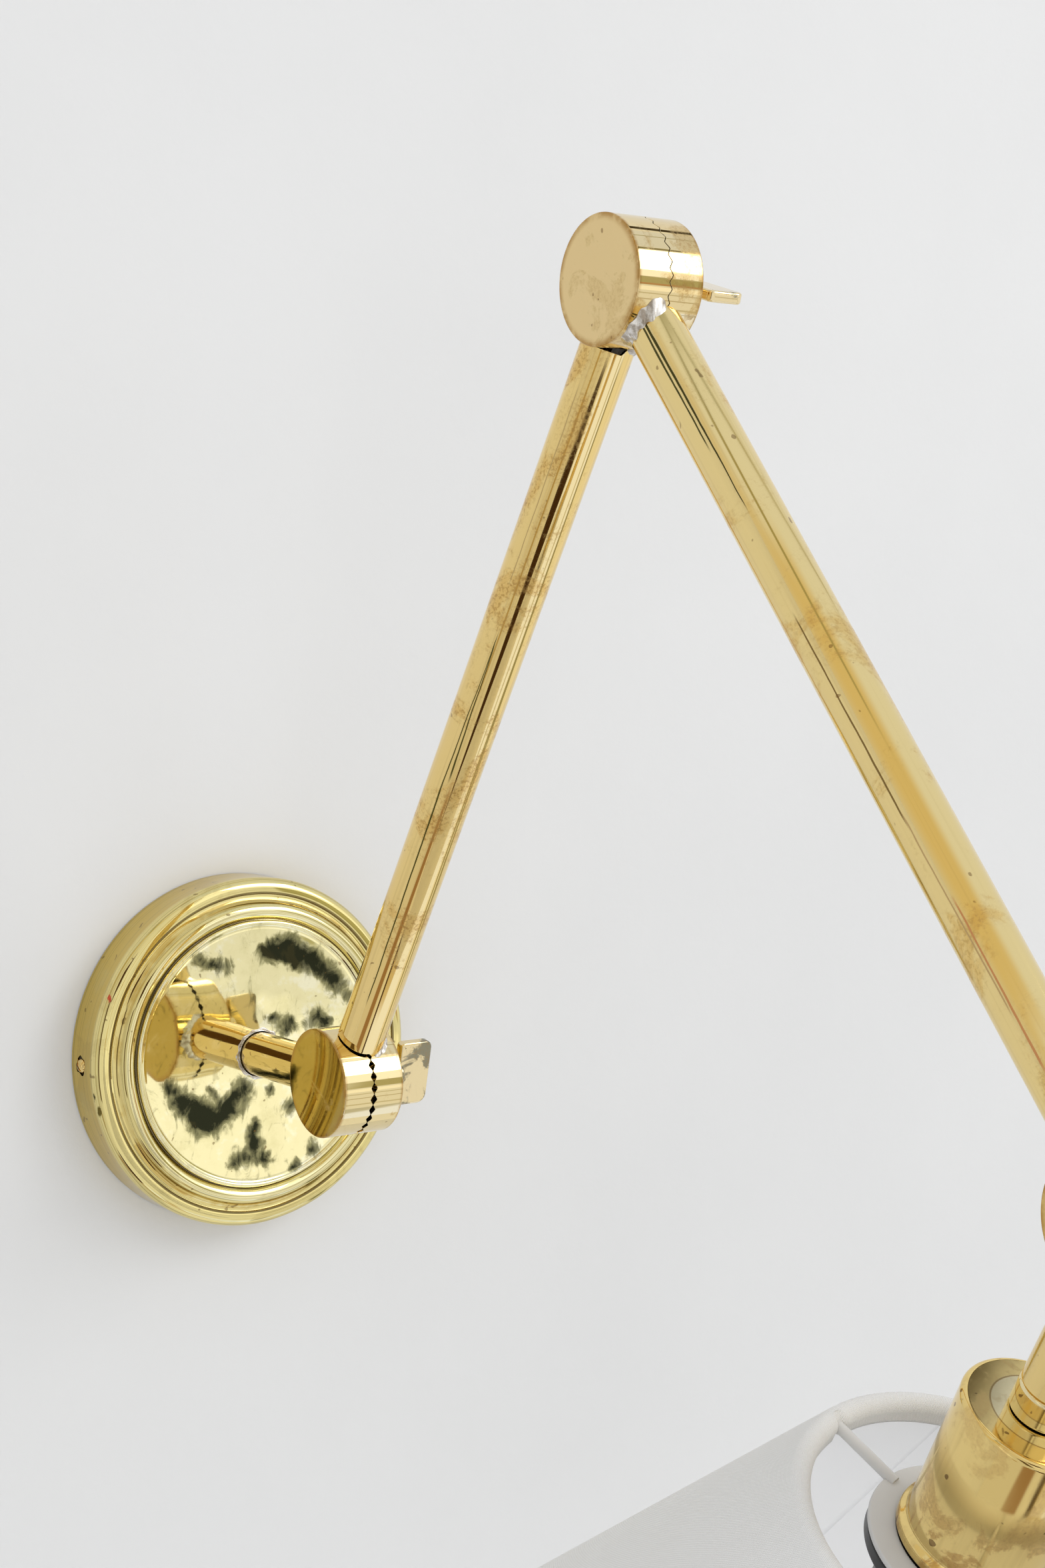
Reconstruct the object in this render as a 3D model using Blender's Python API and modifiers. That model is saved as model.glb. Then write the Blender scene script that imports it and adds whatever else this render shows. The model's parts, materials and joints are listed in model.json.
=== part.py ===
"""Wall-mounted swing arm lamp: polished brass, serrated clamp knuckles, fabric shade.

Metres, +Z up. The origin lies on the wall face in the middle of the canopy, +X points
right and the lamp reaches out along -Y. All three knuckles turn about X, so the arms
stay in the plane X = 0. Every tube, knuckle half and shade piece is drawn in the frame
of the body that carries it, with local Z along that body's tube.
"""
import math

import bmesh
import bpy
from mathutils import Matrix, Vector

MM = 0.001

# Clearances
SEAT = 0.3 * MM             # between pieces that touch
RUNNING = 0.9 * MM          # between a tube foot and the knuckle half that turns past it
TIP_GAP = 0.15 * MM         # between facing tooth tips with the wing key slackened
DRAWN_GAP = 0.5 * MM        # round a cable in its hole
PAST = 1.0 * MM             # how far a cutter runs past the face it cuts
WIDE = 6.0 * MM             # how far a cutter runs past the side of a tube

# Canopy, as radius and height off the wall
CANOPY_RADIUS = 63.5 * MM
CANOPY_HEIGHT = 22.0 * MM
CANOPY_WALL = 0.9 * MM
SHOULDER_RADIUS = 5.2 * MM
SHOULDER_DROP = 2.9 * MM    # the shoulder lies this far behind the front bead
STEP_WIDTH = 1.0 * MM       # flat between the shoulder and the cove
STEP_DEPTH = 0.5 * MM
COVE_RADIUS = 3.0 * MM
BEAD_RADIUS = 3.1 * MM
GROOVE_WIDTH = 0.9 * MM
LIP_RADIUS = 0.9 * MM
LIP_SLOPE = 0.7 * MM        # lip to the flat disc
DISC_DROP = 0.8 * MM        # the flat disc lies this far behind the front bead

# Tubes
TUBE_RADIUS = 7.94 * MM
TUBE_WALL = 1.0 * MM
STUB_REACH = 81.4 * MM      # wall to the first pivot
ARM_LENGTH = 295.0 * MM     # pivot to pivot, the same on both arms
STEM_END = 50.4 * MM        # last pivot to the end of the head stem
STEM_EDGE = 0.7 * MM

# Rest pose
LOWER_LEAN = math.radians(31.8)     # lower arm, out from straight up
UPPER_LEAN = math.radians(39.35)    # upper arm, out from straight down
HEAD_LEAN = math.radians(28.1)      # head, back from straight down

# Knuckles, with sizes along X measured from the seam
KNUCKLE_RADIUS = 18.5 * MM
KNUCKLE_HALF = 11.5 * MM
KNUCKLE_DISC = 2.4 * MM
KNUCKLE_RIM = 3.3 * MM
TOOTH_COUNT = 30
TOOTH_DEPTH = 1.1 * MM
BOSS_RADIUS = 5.4 * MM
BOSS_RECESS = 1.8 * MM      # boss face to the seam
WEDGE = 1.5 * MM            # plain part of the cutter behind its flutes

# Wing keys
KEY_SHANK_RADIUS = 3.0 * MM
KEY_NECK_RADIUS = 4.2 * MM
KEY_NECK = 8.2 * MM
KEY_SPAN = 23.0 * MM
KEY_REACH = 12.6 * MM
KEY_THICKNESS = 3.5 * MM
KEY_CORNER = 2.6 * MM
KEY_TURNS = {"wall": math.radians(12.5), "elbow": math.radians(107.0), "head": math.radians(35.0)}

# Solder
SOLDER_WIDTH = 2.4 * MM
SOLDER_RISE = 2.8 * MM
RING_SOLDER_WIDTH = 1.9 * MM
RING_SOLDER_RISE = 1.6 * MM

# Wall bracket and what sits on it
STRAP_WIDTH = 20.0 * MM
STRAP_THICKNESS = 2.0 * MM
EAR_HEIGHT = 12.5 * MM
SLOT_RADIUS = 2.3 * MM
SLOT_LENGTH = 9.0 * MM
SLOT_OFFSET = 44.0 * MM
SCREW_HEIGHT = 7.0 * MM     # canopy screws off the wall
SCREW_SHANK_RADIUS = 1.75 * MM
SCREW_HEAD_RADIUS = 3.2 * MM
SCREW_HEAD_RISE = 2.0 * MM
SCREW_REACH = 3.0 * MM      # past the ear
SCREW_SLOT = 0.8 * MM
BLOCK_LENGTH = 24.0 * MM
BLOCK_WIDTH = 15.0 * MM
BLOCK_HEIGHT = 12.5 * MM
BLOCK_OFFSET = 12.0 * MM
BLOCK_EDGE = 0.8 * MM
TERMINAL_RADIUS = 1.6 * MM
TERMINAL_DEPTH = 5.0 * MM
TERMINAL_SUNK = 0.8 * MM
EARTH_OFFSET = 24.0 * MM

# Lead inside the tubes
LEAD_RADIUS = 1.8 * MM
LEAD_LANE = 4.6 * MM        # lead to the seam plane where it passes a knuckle wall
LEAD_ORBIT = 10.0 * MM      # pivot to the place where two leads meet
LEAD_SETTLE = 42.0 * MM     # pivot to the place where the lead is central in its tube

# Lamp head, as distances along the head axis from the last pivot
CAP_TOP = 58.8 * MM
CAP_BOTTOM = 102.0 * MM
CAP_RADIUS = 19.4 * MM
CAP_WAIST = 18.7 * MM
CAP_LIP_RADIUS = 20.4 * MM
CAP_LIP_HEIGHT = 3.0 * MM
CAP_EDGE = 1.8 * MM
CAP_WALL = 1.2 * MM
COLLAR_RADIUS = 8.05 * MM
NIPPLE_RADIUS = 5.0 * MM
NIPPLE_WALL = 1.2 * MM
NIPPLE_ENGAGED = 6.0 * MM
NUT_RADIUS = 8.0 * MM
NUT_HEIGHT = 3.0 * MM
NIPPLE_PROUD = 1.5 * MM     # past the nut
BUSH_LENGTH = 9.0 * MM
CORE_TOP = 76.0 * MM
CORE_BOTTOM = 104.0 * MM
CORE_FLOOR = 11.0 * MM
SKIRT_RADIUS = 19.3 * MM
SKIRT_WALL = 1.6 * MM
SKIRT_BOTTOM = 124.0 * MM
SHELL_RADIUS = 13.9 * MM
SHELL_WALL = 0.6 * MM
SHELL_BOTTOM = 119.0 * MM
CONTACT_RADIUS = 2.6 * MM
CONTACT_HEIGHT = 2.2 * MM
CONTACT_GAP = 2.0 * MM      # round the contact
FITTER_RADIUS = 26.8 * MM
FITTER_THICKNESS = 1.5 * MM
RING_RADIUS = 26.4 * MM
RING_HEIGHT = 5.6 * MM
RING_EDGE = 1.0 * MM
RING_LIP = 1.6 * MM         # flat end of the ring round the holder
WELD_INSET = 2.6 * MM       # arm ends inside the plate's rim
SLIT_LENGTH = 8.0 * MM      # of the slits in the hem

# Shade
SHADE_TOP = 97.2 * MM       # along the head axis, top of the rolled hem
SHADE_HEIGHT = 150.0 * MM
SHADE_TOP_RADIUS = 45.6 * MM        # middle of the top wire
SHADE_SLOPE = 0.532         # radius gained for each unit of height
CLOTH_THICKNESS = 0.8 * MM
WIRE_RADIUS = 1.5 * MM
HEM_RADIUS = 3.0 * MM
HEM_THICKNESS = 0.7 * MM
HEM_LEG = 4.0 * MM
HEM_RETURN = 1.5 * MM
FITTER_ARM_TURN = math.radians(15.0)

# Facets
ROUND_STEPS = 40
SHADE_STEPS = 36
HOLDER_STEPS = 32
TUBE_STEPS = 26
BORE_STEPS = 20
SMALL_STEPS = 16
HOLE_STEPS = 12
WIRE_STEPS = 8

BRASS = ("tan_brass", (0.80, 0.62, 0.28), 0.12, 1.0)
SPUN_BRASS = ("lemon_brass", (0.82, 0.74, 0.36), 0.08, 1.0)
SOLDER = ("solder", (0.72, 0.71, 0.69), 0.35, 1.0)
STEEL = ("zinc_steel", (0.60, 0.60, 0.62), 0.35, 1.0)
BLACK = ("black_resin", (0.02, 0.02, 0.02), 0.35, 0.0)
WHITE = ("white_enamel", (0.86, 0.86, 0.85), 0.40, 0.0)
PORCELAIN = ("porcelain", (0.88, 0.86, 0.80), 0.25, 0.0)
CLOTH = ("white_cloth", (0.90, 0.89, 0.87), 0.90, 0.0)
LEAD = ("white_lead", (0.80, 0.80, 0.78), 0.50, 0.0)

X = Vector((1, 0, 0))
Z = Vector((0, 0, 1))


# ---------------------------------------------------------------- scene and objects
for old in list(bpy.data.objects):
    bpy.data.objects.remove(old, do_unlink=True)


def collection(name):
    found = bpy.data.collections.new(name)
    bpy.context.scene.collection.children.link(found)
    return found


LAMP = collection("swing_arm_lamp")
CUTTERS = collection("cutters")


def material(spec):
    name, colour, roughness, metallic = spec
    made = bpy.data.materials.get(name) or bpy.data.materials.new(name)
    made.use_nodes = True
    shader = made.node_tree.nodes["Principled BSDF"]
    shader.inputs["Base Color"].default_value = (*colour, 1.0)
    shader.inputs["Roughness"].default_value = roughness
    shader.inputs["Metallic"].default_value = metallic
    return made


def turn(angle, axis):
    return Matrix.Rotation(angle, 4, axis)


def shift(x, y, z):
    return Matrix.Translation((x, y, z))


class Body:
    """A moving body: its empty on the hinge and its frame in the world."""

    def __init__(self, name, frame, parent=None):
        self.frame = frame
        self.empty = bpy.data.objects.new(name, None)
        LAMP.objects.link(self.empty)
        self.empty.parent = parent.empty if parent else None
        self.empty.matrix_basis = parent.frame.inverted() @ frame if parent else frame


def add(name, data, frame, body, spec):
    """Puts a piece into the lamp, carried by a body, at a frame in the world."""
    piece = bpy.data.objects.new(name, data)
    LAMP.objects.link(piece)
    piece.parent = body.empty
    piece.matrix_basis = body.frame.inverted() @ frame
    piece.data.materials.append(material(spec))
    return piece


def tool(name, data, frame):
    """Puts a cutter or a shape to be joined into the cutters' collection."""
    piece = bpy.data.objects.new(name, data)
    CUTTERS.objects.link(piece)
    piece.matrix_basis = frame
    piece.hide_render = True
    piece.display_type = "WIRE"
    return piece


def combine(piece, other, operation="DIFFERENCE"):
    step = piece.modifiers.new(other.name, "BOOLEAN")
    step.operation = operation
    step.object = other
    step.solver = "EXACT"


# ---------------------------------------------------------------- basic shapes
def arc(centre, radius, start, end, count):
    """Points on an arc in the (radius, height) plane, both ends included."""
    angles = [start + (end - start) * i / (count - 1) for i in range(count)]
    return [
        (centre[0] + radius * math.cos(math.radians(a)), centre[1] + radius * math.sin(math.radians(a)))
        for a in angles
    ]


def turned_mesh(name, points, closed):
    """Profile of a turned piece at +X. Its outer side runs from the top to the bottom."""
    loop = list(zip(points, points[1:] + points[:1]))
    if sum(a[0] * b[1] - b[0] * a[1] for a, b in loop) > 0:
        points = points[::-1]
    edges = [(i, i + 1) for i in range(len(points) - 1)]
    if closed:
        edges.append((len(points) - 1, 0))
    mesh = bpy.data.meshes.new(name)
    mesh.from_pydata([(r, 0.0, h) for r, h in points], edges, [])
    return mesh


def screw(piece, steps):
    spin = piece.modifiers.new("turned", "SCREW")
    spin.axis = "Z"
    spin.steps = steps
    spin.render_steps = steps
    spin.use_merge_vertices = True
    spin.merge_threshold = 0.00001


def turned(name, points, frame, body, spec, steps=ROUND_STEPS):
    """A turned piece. A profile that starts and ends on the axis is solid, others are rings."""
    closed = not (points[0][0] == 0.0 and points[-1][0] == 0.0)
    piece = add(name, turned_mesh(name, points, closed), frame, body, spec)
    screw(piece, steps)
    return piece


def turned_tool(name, points, frame, steps):
    closed = not (points[0][0] == 0.0 and points[-1][0] == 0.0)
    piece = tool(name, turned_mesh(name, points, closed), frame)
    screw(piece, steps)
    return piece


def cylinder_mesh(name, radius, low, high, steps):
    mesh = bpy.data.meshes.new(name)
    form = bmesh.new()
    bmesh.ops.create_cone(
        form, cap_ends=True, segments=steps, radius1=radius, radius2=radius, depth=high - low,
        matrix=shift(0, 0, (high + low) / 2),
    )
    form.to_mesh(mesh)
    form.free()
    return mesh


def box_mesh(name, low, high):
    mesh = bpy.data.meshes.new(name)
    form = bmesh.new()
    middle = [(a + b) / 2 for a, b in zip(low, high)]
    size = [b - a for a, b in zip(low, high)]
    bmesh.ops.create_cube(form, size=1.0, matrix=shift(*middle) @ Matrix.Diagonal((*size, 1.0)))
    form.to_mesh(mesh)
    form.free()
    return mesh


def drill(piece, name, radius, low, high, frame, steps=SMALL_STEPS):
    combine(piece, tool(name, cylinder_mesh(name, radius, low, high, steps), frame))


def ring(inner, outer, low, high):
    return [(inner, high), (outer, high), (outer, low), (inner, low)]


# ---------------------------------------------------------------- bodies
WALL_FRAME = turn(math.pi / 2, "X")
FIRST = Vector((0, -STUB_REACH, 0))
LOWER_FRAME = Matrix.Translation(FIRST) @ turn(LOWER_LEAN, "X")
SECOND = LOWER_FRAME @ (Z * ARM_LENGTH)
UPPER_FRAME = Matrix.Translation(SECOND) @ turn(math.pi - UPPER_LEAN, "X")
THIRD = UPPER_FRAME @ (Z * ARM_LENGTH)
HEAD_FRAME = Matrix.Translation(THIRD) @ turn(math.pi + HEAD_LEAN, "X")

WALL = Body("wall", WALL_FRAME)
LOWER = Body("lower_arm", LOWER_FRAME, WALL)
UPPER = Body("upper_arm", UPPER_FRAME, LOWER)
HEAD = Body("head", HEAD_FRAME, UPPER)

# Frames at a pivot with Z along a tube that leaves it
STUB_FOOT = Matrix.Translation(FIRST) @ turn(-math.pi / 2, "X")
LOWER_TOP = LOWER_FRAME @ shift(0, 0, ARM_LENGTH) @ turn(math.pi, "X")
UPPER_END = UPPER_FRAME @ shift(0, 0, ARM_LENGTH) @ turn(math.pi, "X")

LEFT = -1
RIGHT = 1


# ---------------------------------------------------------------- knuckles
def across(pivot, side):
    """Frame at a pivot with Z along X, out from the seam on one side."""
    return Matrix.Translation(pivot) @ turn(side * math.pi / 2, "Y")


def fluted_mesh(name, first_is_root):
    """Cylinder whose upper end is a crown of V flutes that run in to its middle."""
    reach = KNUCKLE_RADIUS + WIDE
    tip = TIP_GAP / 2
    root = tip + TOOTH_DEPTH * reach / KNUCKLE_RADIUS
    steps = 2 * TOOTH_COUNT
    form = bmesh.new()
    bmesh.ops.create_cone(
        form, cap_ends=True, cap_tris=True, segments=steps, radius1=reach, radius2=reach,
        depth=2 * WEDGE, matrix=shift(0, 0, tip - WEDGE),
    )
    for vertex in form.verts:
        angle = math.atan2(vertex.co.y, vertex.co.x)
        odd = round(angle / (math.pi / TOOTH_COUNT)) % 2
        on_rim = vertex.co.xy.length > reach / 2
        if on_rim and vertex.co.z > tip - WEDGE and odd != first_is_root:
            vertex.co.z = root
    mesh = bpy.data.meshes.new(name)
    form.to_mesh(mesh)
    form.free()
    return mesh


def knuckle_half(name, pivot, side, body, tubes, phase):
    """One cup of a knuckle: flat disc, toothed rim, and a boss or hole for the wing key.

    tubes are the feet that are soldered to it, each with a hole in the rim for the lead.
    phase 0 puts a tooth tip at the vertical, phase 1 a root.
    """
    frame = across(pivot, side)
    half, radius = KNUCKLE_HALF, KNUCKLE_RADIUS
    blank = [(0.0, half), (radius, half), (radius, 0.0), (0.0, 0.0)]
    piece = turned(name, blank, frame, body, BRASS, 2 * TOOTH_COUNT)
    floor = half - KNUCKLE_DISC
    hole = KEY_SHANK_RADIUS + SEAT
    bore = radius - KNUCKLE_RIM
    between_tips = frame @ turn(math.pi / TOOTH_COUNT / 2, "Z")
    if side == LEFT:
        pocket = ring(BOSS_RADIUS, bore, -PAST, floor)
        combine(piece, turned_tool(name + "_pocket", pocket, between_tips, BORE_STEPS))
        face = cylinder_mesh(name + "_face", BOSS_RADIUS + PAST, -PAST, BOSS_RECESS, HOLE_STEPS)
        combine(piece, tool(name + "_face", face, frame))
        drill(piece, name + "_tapping", hole, -PAST, floor - SEAT, frame, HOLE_STEPS)
    else:
        drill(piece, name + "_pocket", bore, -PAST, floor, between_tips, BORE_STEPS)
        drill(piece, name + "_hole", hole, 0.0, half + PAST, frame, HOLE_STEPS)
    combine(piece, tool(name + "_teeth", fluted_mesh(name + "_teeth", phase), frame))
    for number, foot in enumerate(tubes):
        lane = foot @ shift(side * LEAD_LANE, 0, 0)
        drill(piece, f"{name}_lead_hole_{number}", LEAD_RADIUS + DRAWN_GAP, bore - 2 * PAST,
              radius + 2 * PAST, lane, WIRE_STEPS)
    return piece


def wing_key(name, pivot, angle, parent):
    """Wing screw: shank through the right half into the left one, neck and flat paddle."""
    body = Body(name + "_axis", Matrix.Translation(pivot) @ turn(angle, "X"), parent)
    frame = body.frame @ turn(math.pi / 2, "Y")
    face = KNUCKLE_HALF + SEAT
    tip = -(KNUCKLE_HALF - KNUCKLE_DISC) + 2 * SEAT
    turned_part = [
        (0.0, face + KEY_NECK + PAST), (KEY_NECK_RADIUS, face + KEY_NECK + PAST),
        (KEY_NECK_RADIUS, face), (KEY_SHANK_RADIUS, face), (KEY_SHANK_RADIUS, tip), (0.0, tip),
    ]
    piece = turned(name, turned_part, frame, body, BRASS, SMALL_STEPS)
    low = (-KEY_SPAN / 2, -KEY_THICKNESS / 2, face + KEY_NECK)
    high = (KEY_SPAN / 2, KEY_THICKNESS / 2, face + KEY_NECK + KEY_REACH)
    form = bmesh.new()
    form.from_mesh(box_mesh(name + "_blank", low, high))
    form.edges.ensure_lookup_table()
    corners = [e for e in form.edges if abs((e.verts[0].co - e.verts[1].co).y) > KEY_THICKNESS / 2]
    bmesh.ops.bevel(form, geom=corners, offset=KEY_CORNER, segments=4, affect="EDGES", profile=0.5)
    paddle = bpy.data.meshes.new(name + "_paddle")
    form.to_mesh(paddle)
    form.free()
    combine(piece, tool(name + "_paddle", paddle, frame), "UNION")
    return body


# ---------------------------------------------------------------- tubes and solder
def cope(piece, name, pivot, own_side):
    """Cuts a tube to its knuckle: a close seat on its own half, a running gap on the other."""
    reach = TUBE_RADIUS + WIDE
    seat = cylinder_mesh(name + "_seat", KNUCKLE_RADIUS + SEAT, -reach, reach, 2 * TOOTH_COUNT)
    combine(piece, tool(name + "_seat", seat, across(pivot, RIGHT)))
    free = cylinder_mesh(name + "_free", KNUCKLE_RADIUS + RUNNING, TIP_GAP, reach, 2 * TOOTH_COUNT)
    combine(piece, tool(name + "_free", free, across(pivot, -own_side)))


def foot_solder(name, foot, pivot, side, body, width=SOLDER_WIDTH, rise=SOLDER_RISE):
    """Fillet of solder between a tube foot and its own knuckle half."""
    inner = TUBE_RADIUS + SEAT
    top = KNUCKLE_RADIUS + SEAT
    low = top - TUBE_RADIUS
    fillet = [(inner, top + rise), (inner + width, top - width), (inner + width, low), (inner, low)]
    piece = turned(name, fillet, foot, body, SOLDER, TUBE_STEPS)
    reach = TUBE_RADIUS + width + WIDE
    seat = cylinder_mesh(name + "_seat", KNUCKLE_RADIUS + SEAT, -reach, reach, 2 * TOOTH_COUNT)
    combine(piece, tool(name + "_seat", seat, across(pivot, RIGHT)))
    far = box_mesh(name + "_half", (-reach, -reach, 0.0), (reach, reach, 2 * KNUCKLE_RADIUS))
    away = shift(side * (TIP_GAP + TOOTH_DEPTH - reach), 0, 0)
    combine(piece, tool(name + "_half", far, foot @ away))
    return piece


def arm_tube(name, body, first, second, side):
    near, far = 0.5 * KNUCKLE_RADIUS, ARM_LENGTH - 0.5 * KNUCKLE_RADIUS
    wall = ring(TUBE_RADIUS - TUBE_WALL, TUBE_RADIUS, near, far)
    piece = turned(name, wall, body.frame, body, BRASS, TUBE_STEPS)
    cope(piece, name + "_near", first, side)
    cope(piece, name + "_far", second, side)


# ---------------------------------------------------------------- lead
def smooth(points, per_span):
    """Points on a smooth curve through the given ones: a cubic to each span's own length."""
    ends = [2 * points[0] - points[1], *points, 2 * points[-1] - points[-2]]
    aims = [(after - before).normalized() for before, after in zip(ends, ends[2:])]
    out = []
    for start, end, aim, next_aim, count in zip(points, points[1:], aims, aims[1:], per_span):
        length = (end - start).length
        for k in range(count):
            t = k / count
            out.append((2 * t ** 3 - 3 * t ** 2 + 1) * start + (3 * t ** 2 - 2 * t ** 3) * end
                       + length * ((t ** 3 - 2 * t ** 2 + t) * aim + (t ** 3 - t ** 2) * next_aim))
    return out + [points[-1]]


def lead(name, body, points, per_span, straight_start=None, straight_end=None):
    """Round lead on a smooth route, in world coordinates, with straight ends where given."""
    route = smooth(points, per_span)
    route = ([straight_start] if straight_start else []) + route
    route = route + ([straight_end] if straight_end else [])
    curve = bpy.data.curves.new(name, "CURVE")
    curve.dimensions = "3D"
    curve.bevel_depth = LEAD_RADIUS
    curve.bevel_resolution = 2
    curve.use_fill_caps = True
    spline = curve.splines.new("POLY")
    spline.points.add(len(route) - 1)
    inverse = body.frame.inverted()
    for point, place in zip(spline.points, route):
        point.co = (*(inverse @ place), 1.0)
    return add(name, curve, body.frame, body, LEAD)


def between(pivot, one, other):
    """Direction from a pivot, midway between two tubes that leave it."""
    first = (one @ Z - pivot).normalized()
    second = (other @ Z - pivot).normalized()
    return (first + second).normalized()


def knuckle_lane(pivot, foot, direction, side):
    """Route from the meeting place in a knuckle out to the tube: the end and four points."""
    meet = pivot + direction * LEAD_ORBIT
    out = (foot @ Z - pivot).normalized()
    half_way = (direction + out).normalized()
    lane = X * side * LEAD_LANE
    end = meet + X * side * SEAT / 2
    return end, [
        meet + X * side * (LEAD_RADIUS + SEAT),
        pivot + half_way * (LEAD_ORBIT + 2 * DRAWN_GAP) + lane * 0.95,
        pivot + out * (KNUCKLE_RADIUS - KNUCKLE_RIM - SEAT) + lane,
        pivot + out * (KNUCKLE_RADIUS + 2 * DRAWN_GAP) + lane,
    ]


# ---------------------------------------------------------------- wall side
def canopy_profile():
    """Spun rose: side, shoulder, cove, bead, groove, lip and flat disc, then the inside."""
    radius, height = CANOPY_RADIUS, CANOPY_HEIGHT
    hole = TUBE_RADIUS + SEAT
    shoulder = height - SHOULDER_DROP
    shoulder_in = radius - SHOULDER_RADIUS
    cove_low = shoulder - STEP_DEPTH
    cove_out = shoulder_in - STEP_WIDTH
    bead = cove_out - COVE_RADIUS - BEAD_RADIUS * math.cos(math.radians(40))
    groove = height - BEAD_RADIUS + BEAD_RADIUS * math.sin(math.radians(145))
    groove_out = bead + BEAD_RADIUS * math.cos(math.radians(145))
    lip = groove_out - GROOVE_WIDTH - LIP_RADIUS
    disc = height - DISC_DROP
    disc_edge = lip - LIP_RADIUS - LIP_SLOPE
    front = [
        (hole, disc),
        (disc_edge, disc),
        *arc((lip, height - LIP_RADIUS), LIP_RADIUS, 150, 15, 3),
        (groove_out - GROOVE_WIDTH, groove),
        *arc((bead, height - BEAD_RADIUS), BEAD_RADIUS, 145, 40, 5),
        *arc((cove_out, cove_low + COVE_RADIUS), COVE_RADIUS, 215, 270, 3),
        (shoulder_in, shoulder),
        *arc((shoulder_in, shoulder - SHOULDER_RADIUS), SHOULDER_RADIUS, 68, 0, 4),
        (radius, 0.0),
    ]
    inner = radius - CANOPY_WALL
    back = [
        (inner, 0.0),
        (inner, shoulder - SHOULDER_RADIUS),
        (shoulder_in + 0.5 * SHOULDER_RADIUS, shoulder - CANOPY_WALL - 0.14 * SHOULDER_RADIUS),
        (shoulder_in, cove_low - CANOPY_WALL),
        (cove_out - STEP_DEPTH, cove_low - CANOPY_WALL),
        (bead, height - 2 * CANOPY_WALL),
        (groove_out, groove - CANOPY_WALL),
        (disc_edge, disc - CANOPY_WALL),
        (hole, disc - CANOPY_WALL),
    ]
    return front + back


def round_screw(name, shank, frame, body, spec):
    """Round-head screw with a slot. Its frame has Z along the shank, out of the head."""
    head = arc((0.0, SEAT), SCREW_HEAD_RADIUS, 90, 0, 4)
    squash = SCREW_HEAD_RISE / SCREW_HEAD_RADIUS
    dome = [(r if i else 0.0, SEAT + (h - SEAT) * squash) for i, (r, h) in enumerate(head)]
    profile = dome + [(SCREW_SHANK_RADIUS, SEAT), (SCREW_SHANK_RADIUS, -shank), (0.0, -shank)]
    piece = turned(name, profile, frame, body, spec, SMALL_STEPS)
    low = (-SCREW_HEAD_RADIUS - PAST, -SCREW_SLOT / 2, SEAT + 0.55 * SCREW_HEAD_RISE)
    high = (SCREW_HEAD_RADIUS + PAST, SCREW_SLOT / 2, SEAT + 2 * SCREW_HEAD_RISE)
    combine(piece, tool(name + "_slot", box_mesh(name + "_slot", low, high), frame))
    return piece


def strap_bracket():
    """Steel strap on the wall with its ends bent forward, tapped for the canopy screws."""
    inside = CANOPY_RADIUS - CANOPY_WALL
    ear = math.sqrt(inside ** 2 - (STRAP_WIDTH / 2) ** 2) - 2 * SEAT
    half = STRAP_WIDTH / 2
    path = [(-ear, EAR_HEIGHT), (-ear, 0.0), (ear, 0.0), (ear, EAR_HEIGHT)]
    mesh = bpy.data.meshes.new("wall_bracket")
    corners = [(x, y, h) for x, h in path for y in (-half, half)]
    mesh.from_pydata(corners, [], [(2 * i, 2 * i + 1, 2 * i + 3, 2 * i + 2) for i in range(3)])
    piece = add("wall_bracket", mesh, WALL_FRAME, WALL, STEEL)
    plate = piece.modifiers.new("plate", "SOLIDIFY")
    plate.thickness = STRAP_THICKNESS
    plate.offset = -1.0
    plate.use_even_offset = True
    for side, word in ((LEFT, "left"), (RIGHT, "right")):
        for end in (-1, 1):
            place = WALL_FRAME @ shift(side * SLOT_OFFSET + end * SLOT_LENGTH / 2, 0, 0)
            name = f"bracket_slot_{word}_{end + 1}"
            drill(piece, name, SLOT_RADIUS, -PAST, STRAP_THICKNESS + PAST, place, HOLE_STEPS)
        low = (side * SLOT_OFFSET - SLOT_LENGTH / 2, -SLOT_RADIUS * 0.99, -PAST)
        high = (side * SLOT_OFFSET + SLOT_LENGTH / 2, SLOT_RADIUS * 0.99, STRAP_THICKNESS + PAST)
        name = f"bracket_slot_{word}"
        combine(piece, tool(name, box_mesh(name, low, high), WALL_FRAME))
        aim = WALL_FRAME @ shift(0, 0, SCREW_HEIGHT) @ turn(side * math.pi / 2, "Y")
        drill(piece, f"bracket_tapping_{word}", SCREW_SHANK_RADIUS + SEAT,
              ear - 2 * STRAP_THICKNESS, ear + PAST, aim, SMALL_STEPS)
    earth = WALL_FRAME @ shift(-EARTH_OFFSET, 0, 0)
    drill(piece, "bracket_earth_tapping", SCREW_SHANK_RADIUS + SEAT, -PAST,
          STRAP_THICKNESS + PAST, earth, SMALL_STEPS)
    round_screw("earth_screw", STRAP_THICKNESS, earth @ shift(0, 0, STRAP_THICKNESS), WALL, BRASS)
    return ear


def canopy_and_bracket():
    ear = strap_bracket()
    canopy = turned("canopy", canopy_profile(), WALL_FRAME, WALL, SPUN_BRASS)
    for side, word in ((LEFT, "left"), (RIGHT, "right")):
        aim = WALL_FRAME @ shift(0, 0, SCREW_HEIGHT) @ turn(side * math.pi / 2, "Y")
        drill(canopy, f"canopy_hole_{word}", SCREW_SHANK_RADIUS + SEAT, CANOPY_RADIUS - 4 * PAST,
              CANOPY_RADIUS + PAST, aim)
        shank = CANOPY_RADIUS - ear + STRAP_THICKNESS + SCREW_REACH
        round_screw(f"canopy_screw_{word}", shank, aim @ shift(0, 0, CANOPY_RADIUS), WALL, BRASS)


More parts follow.
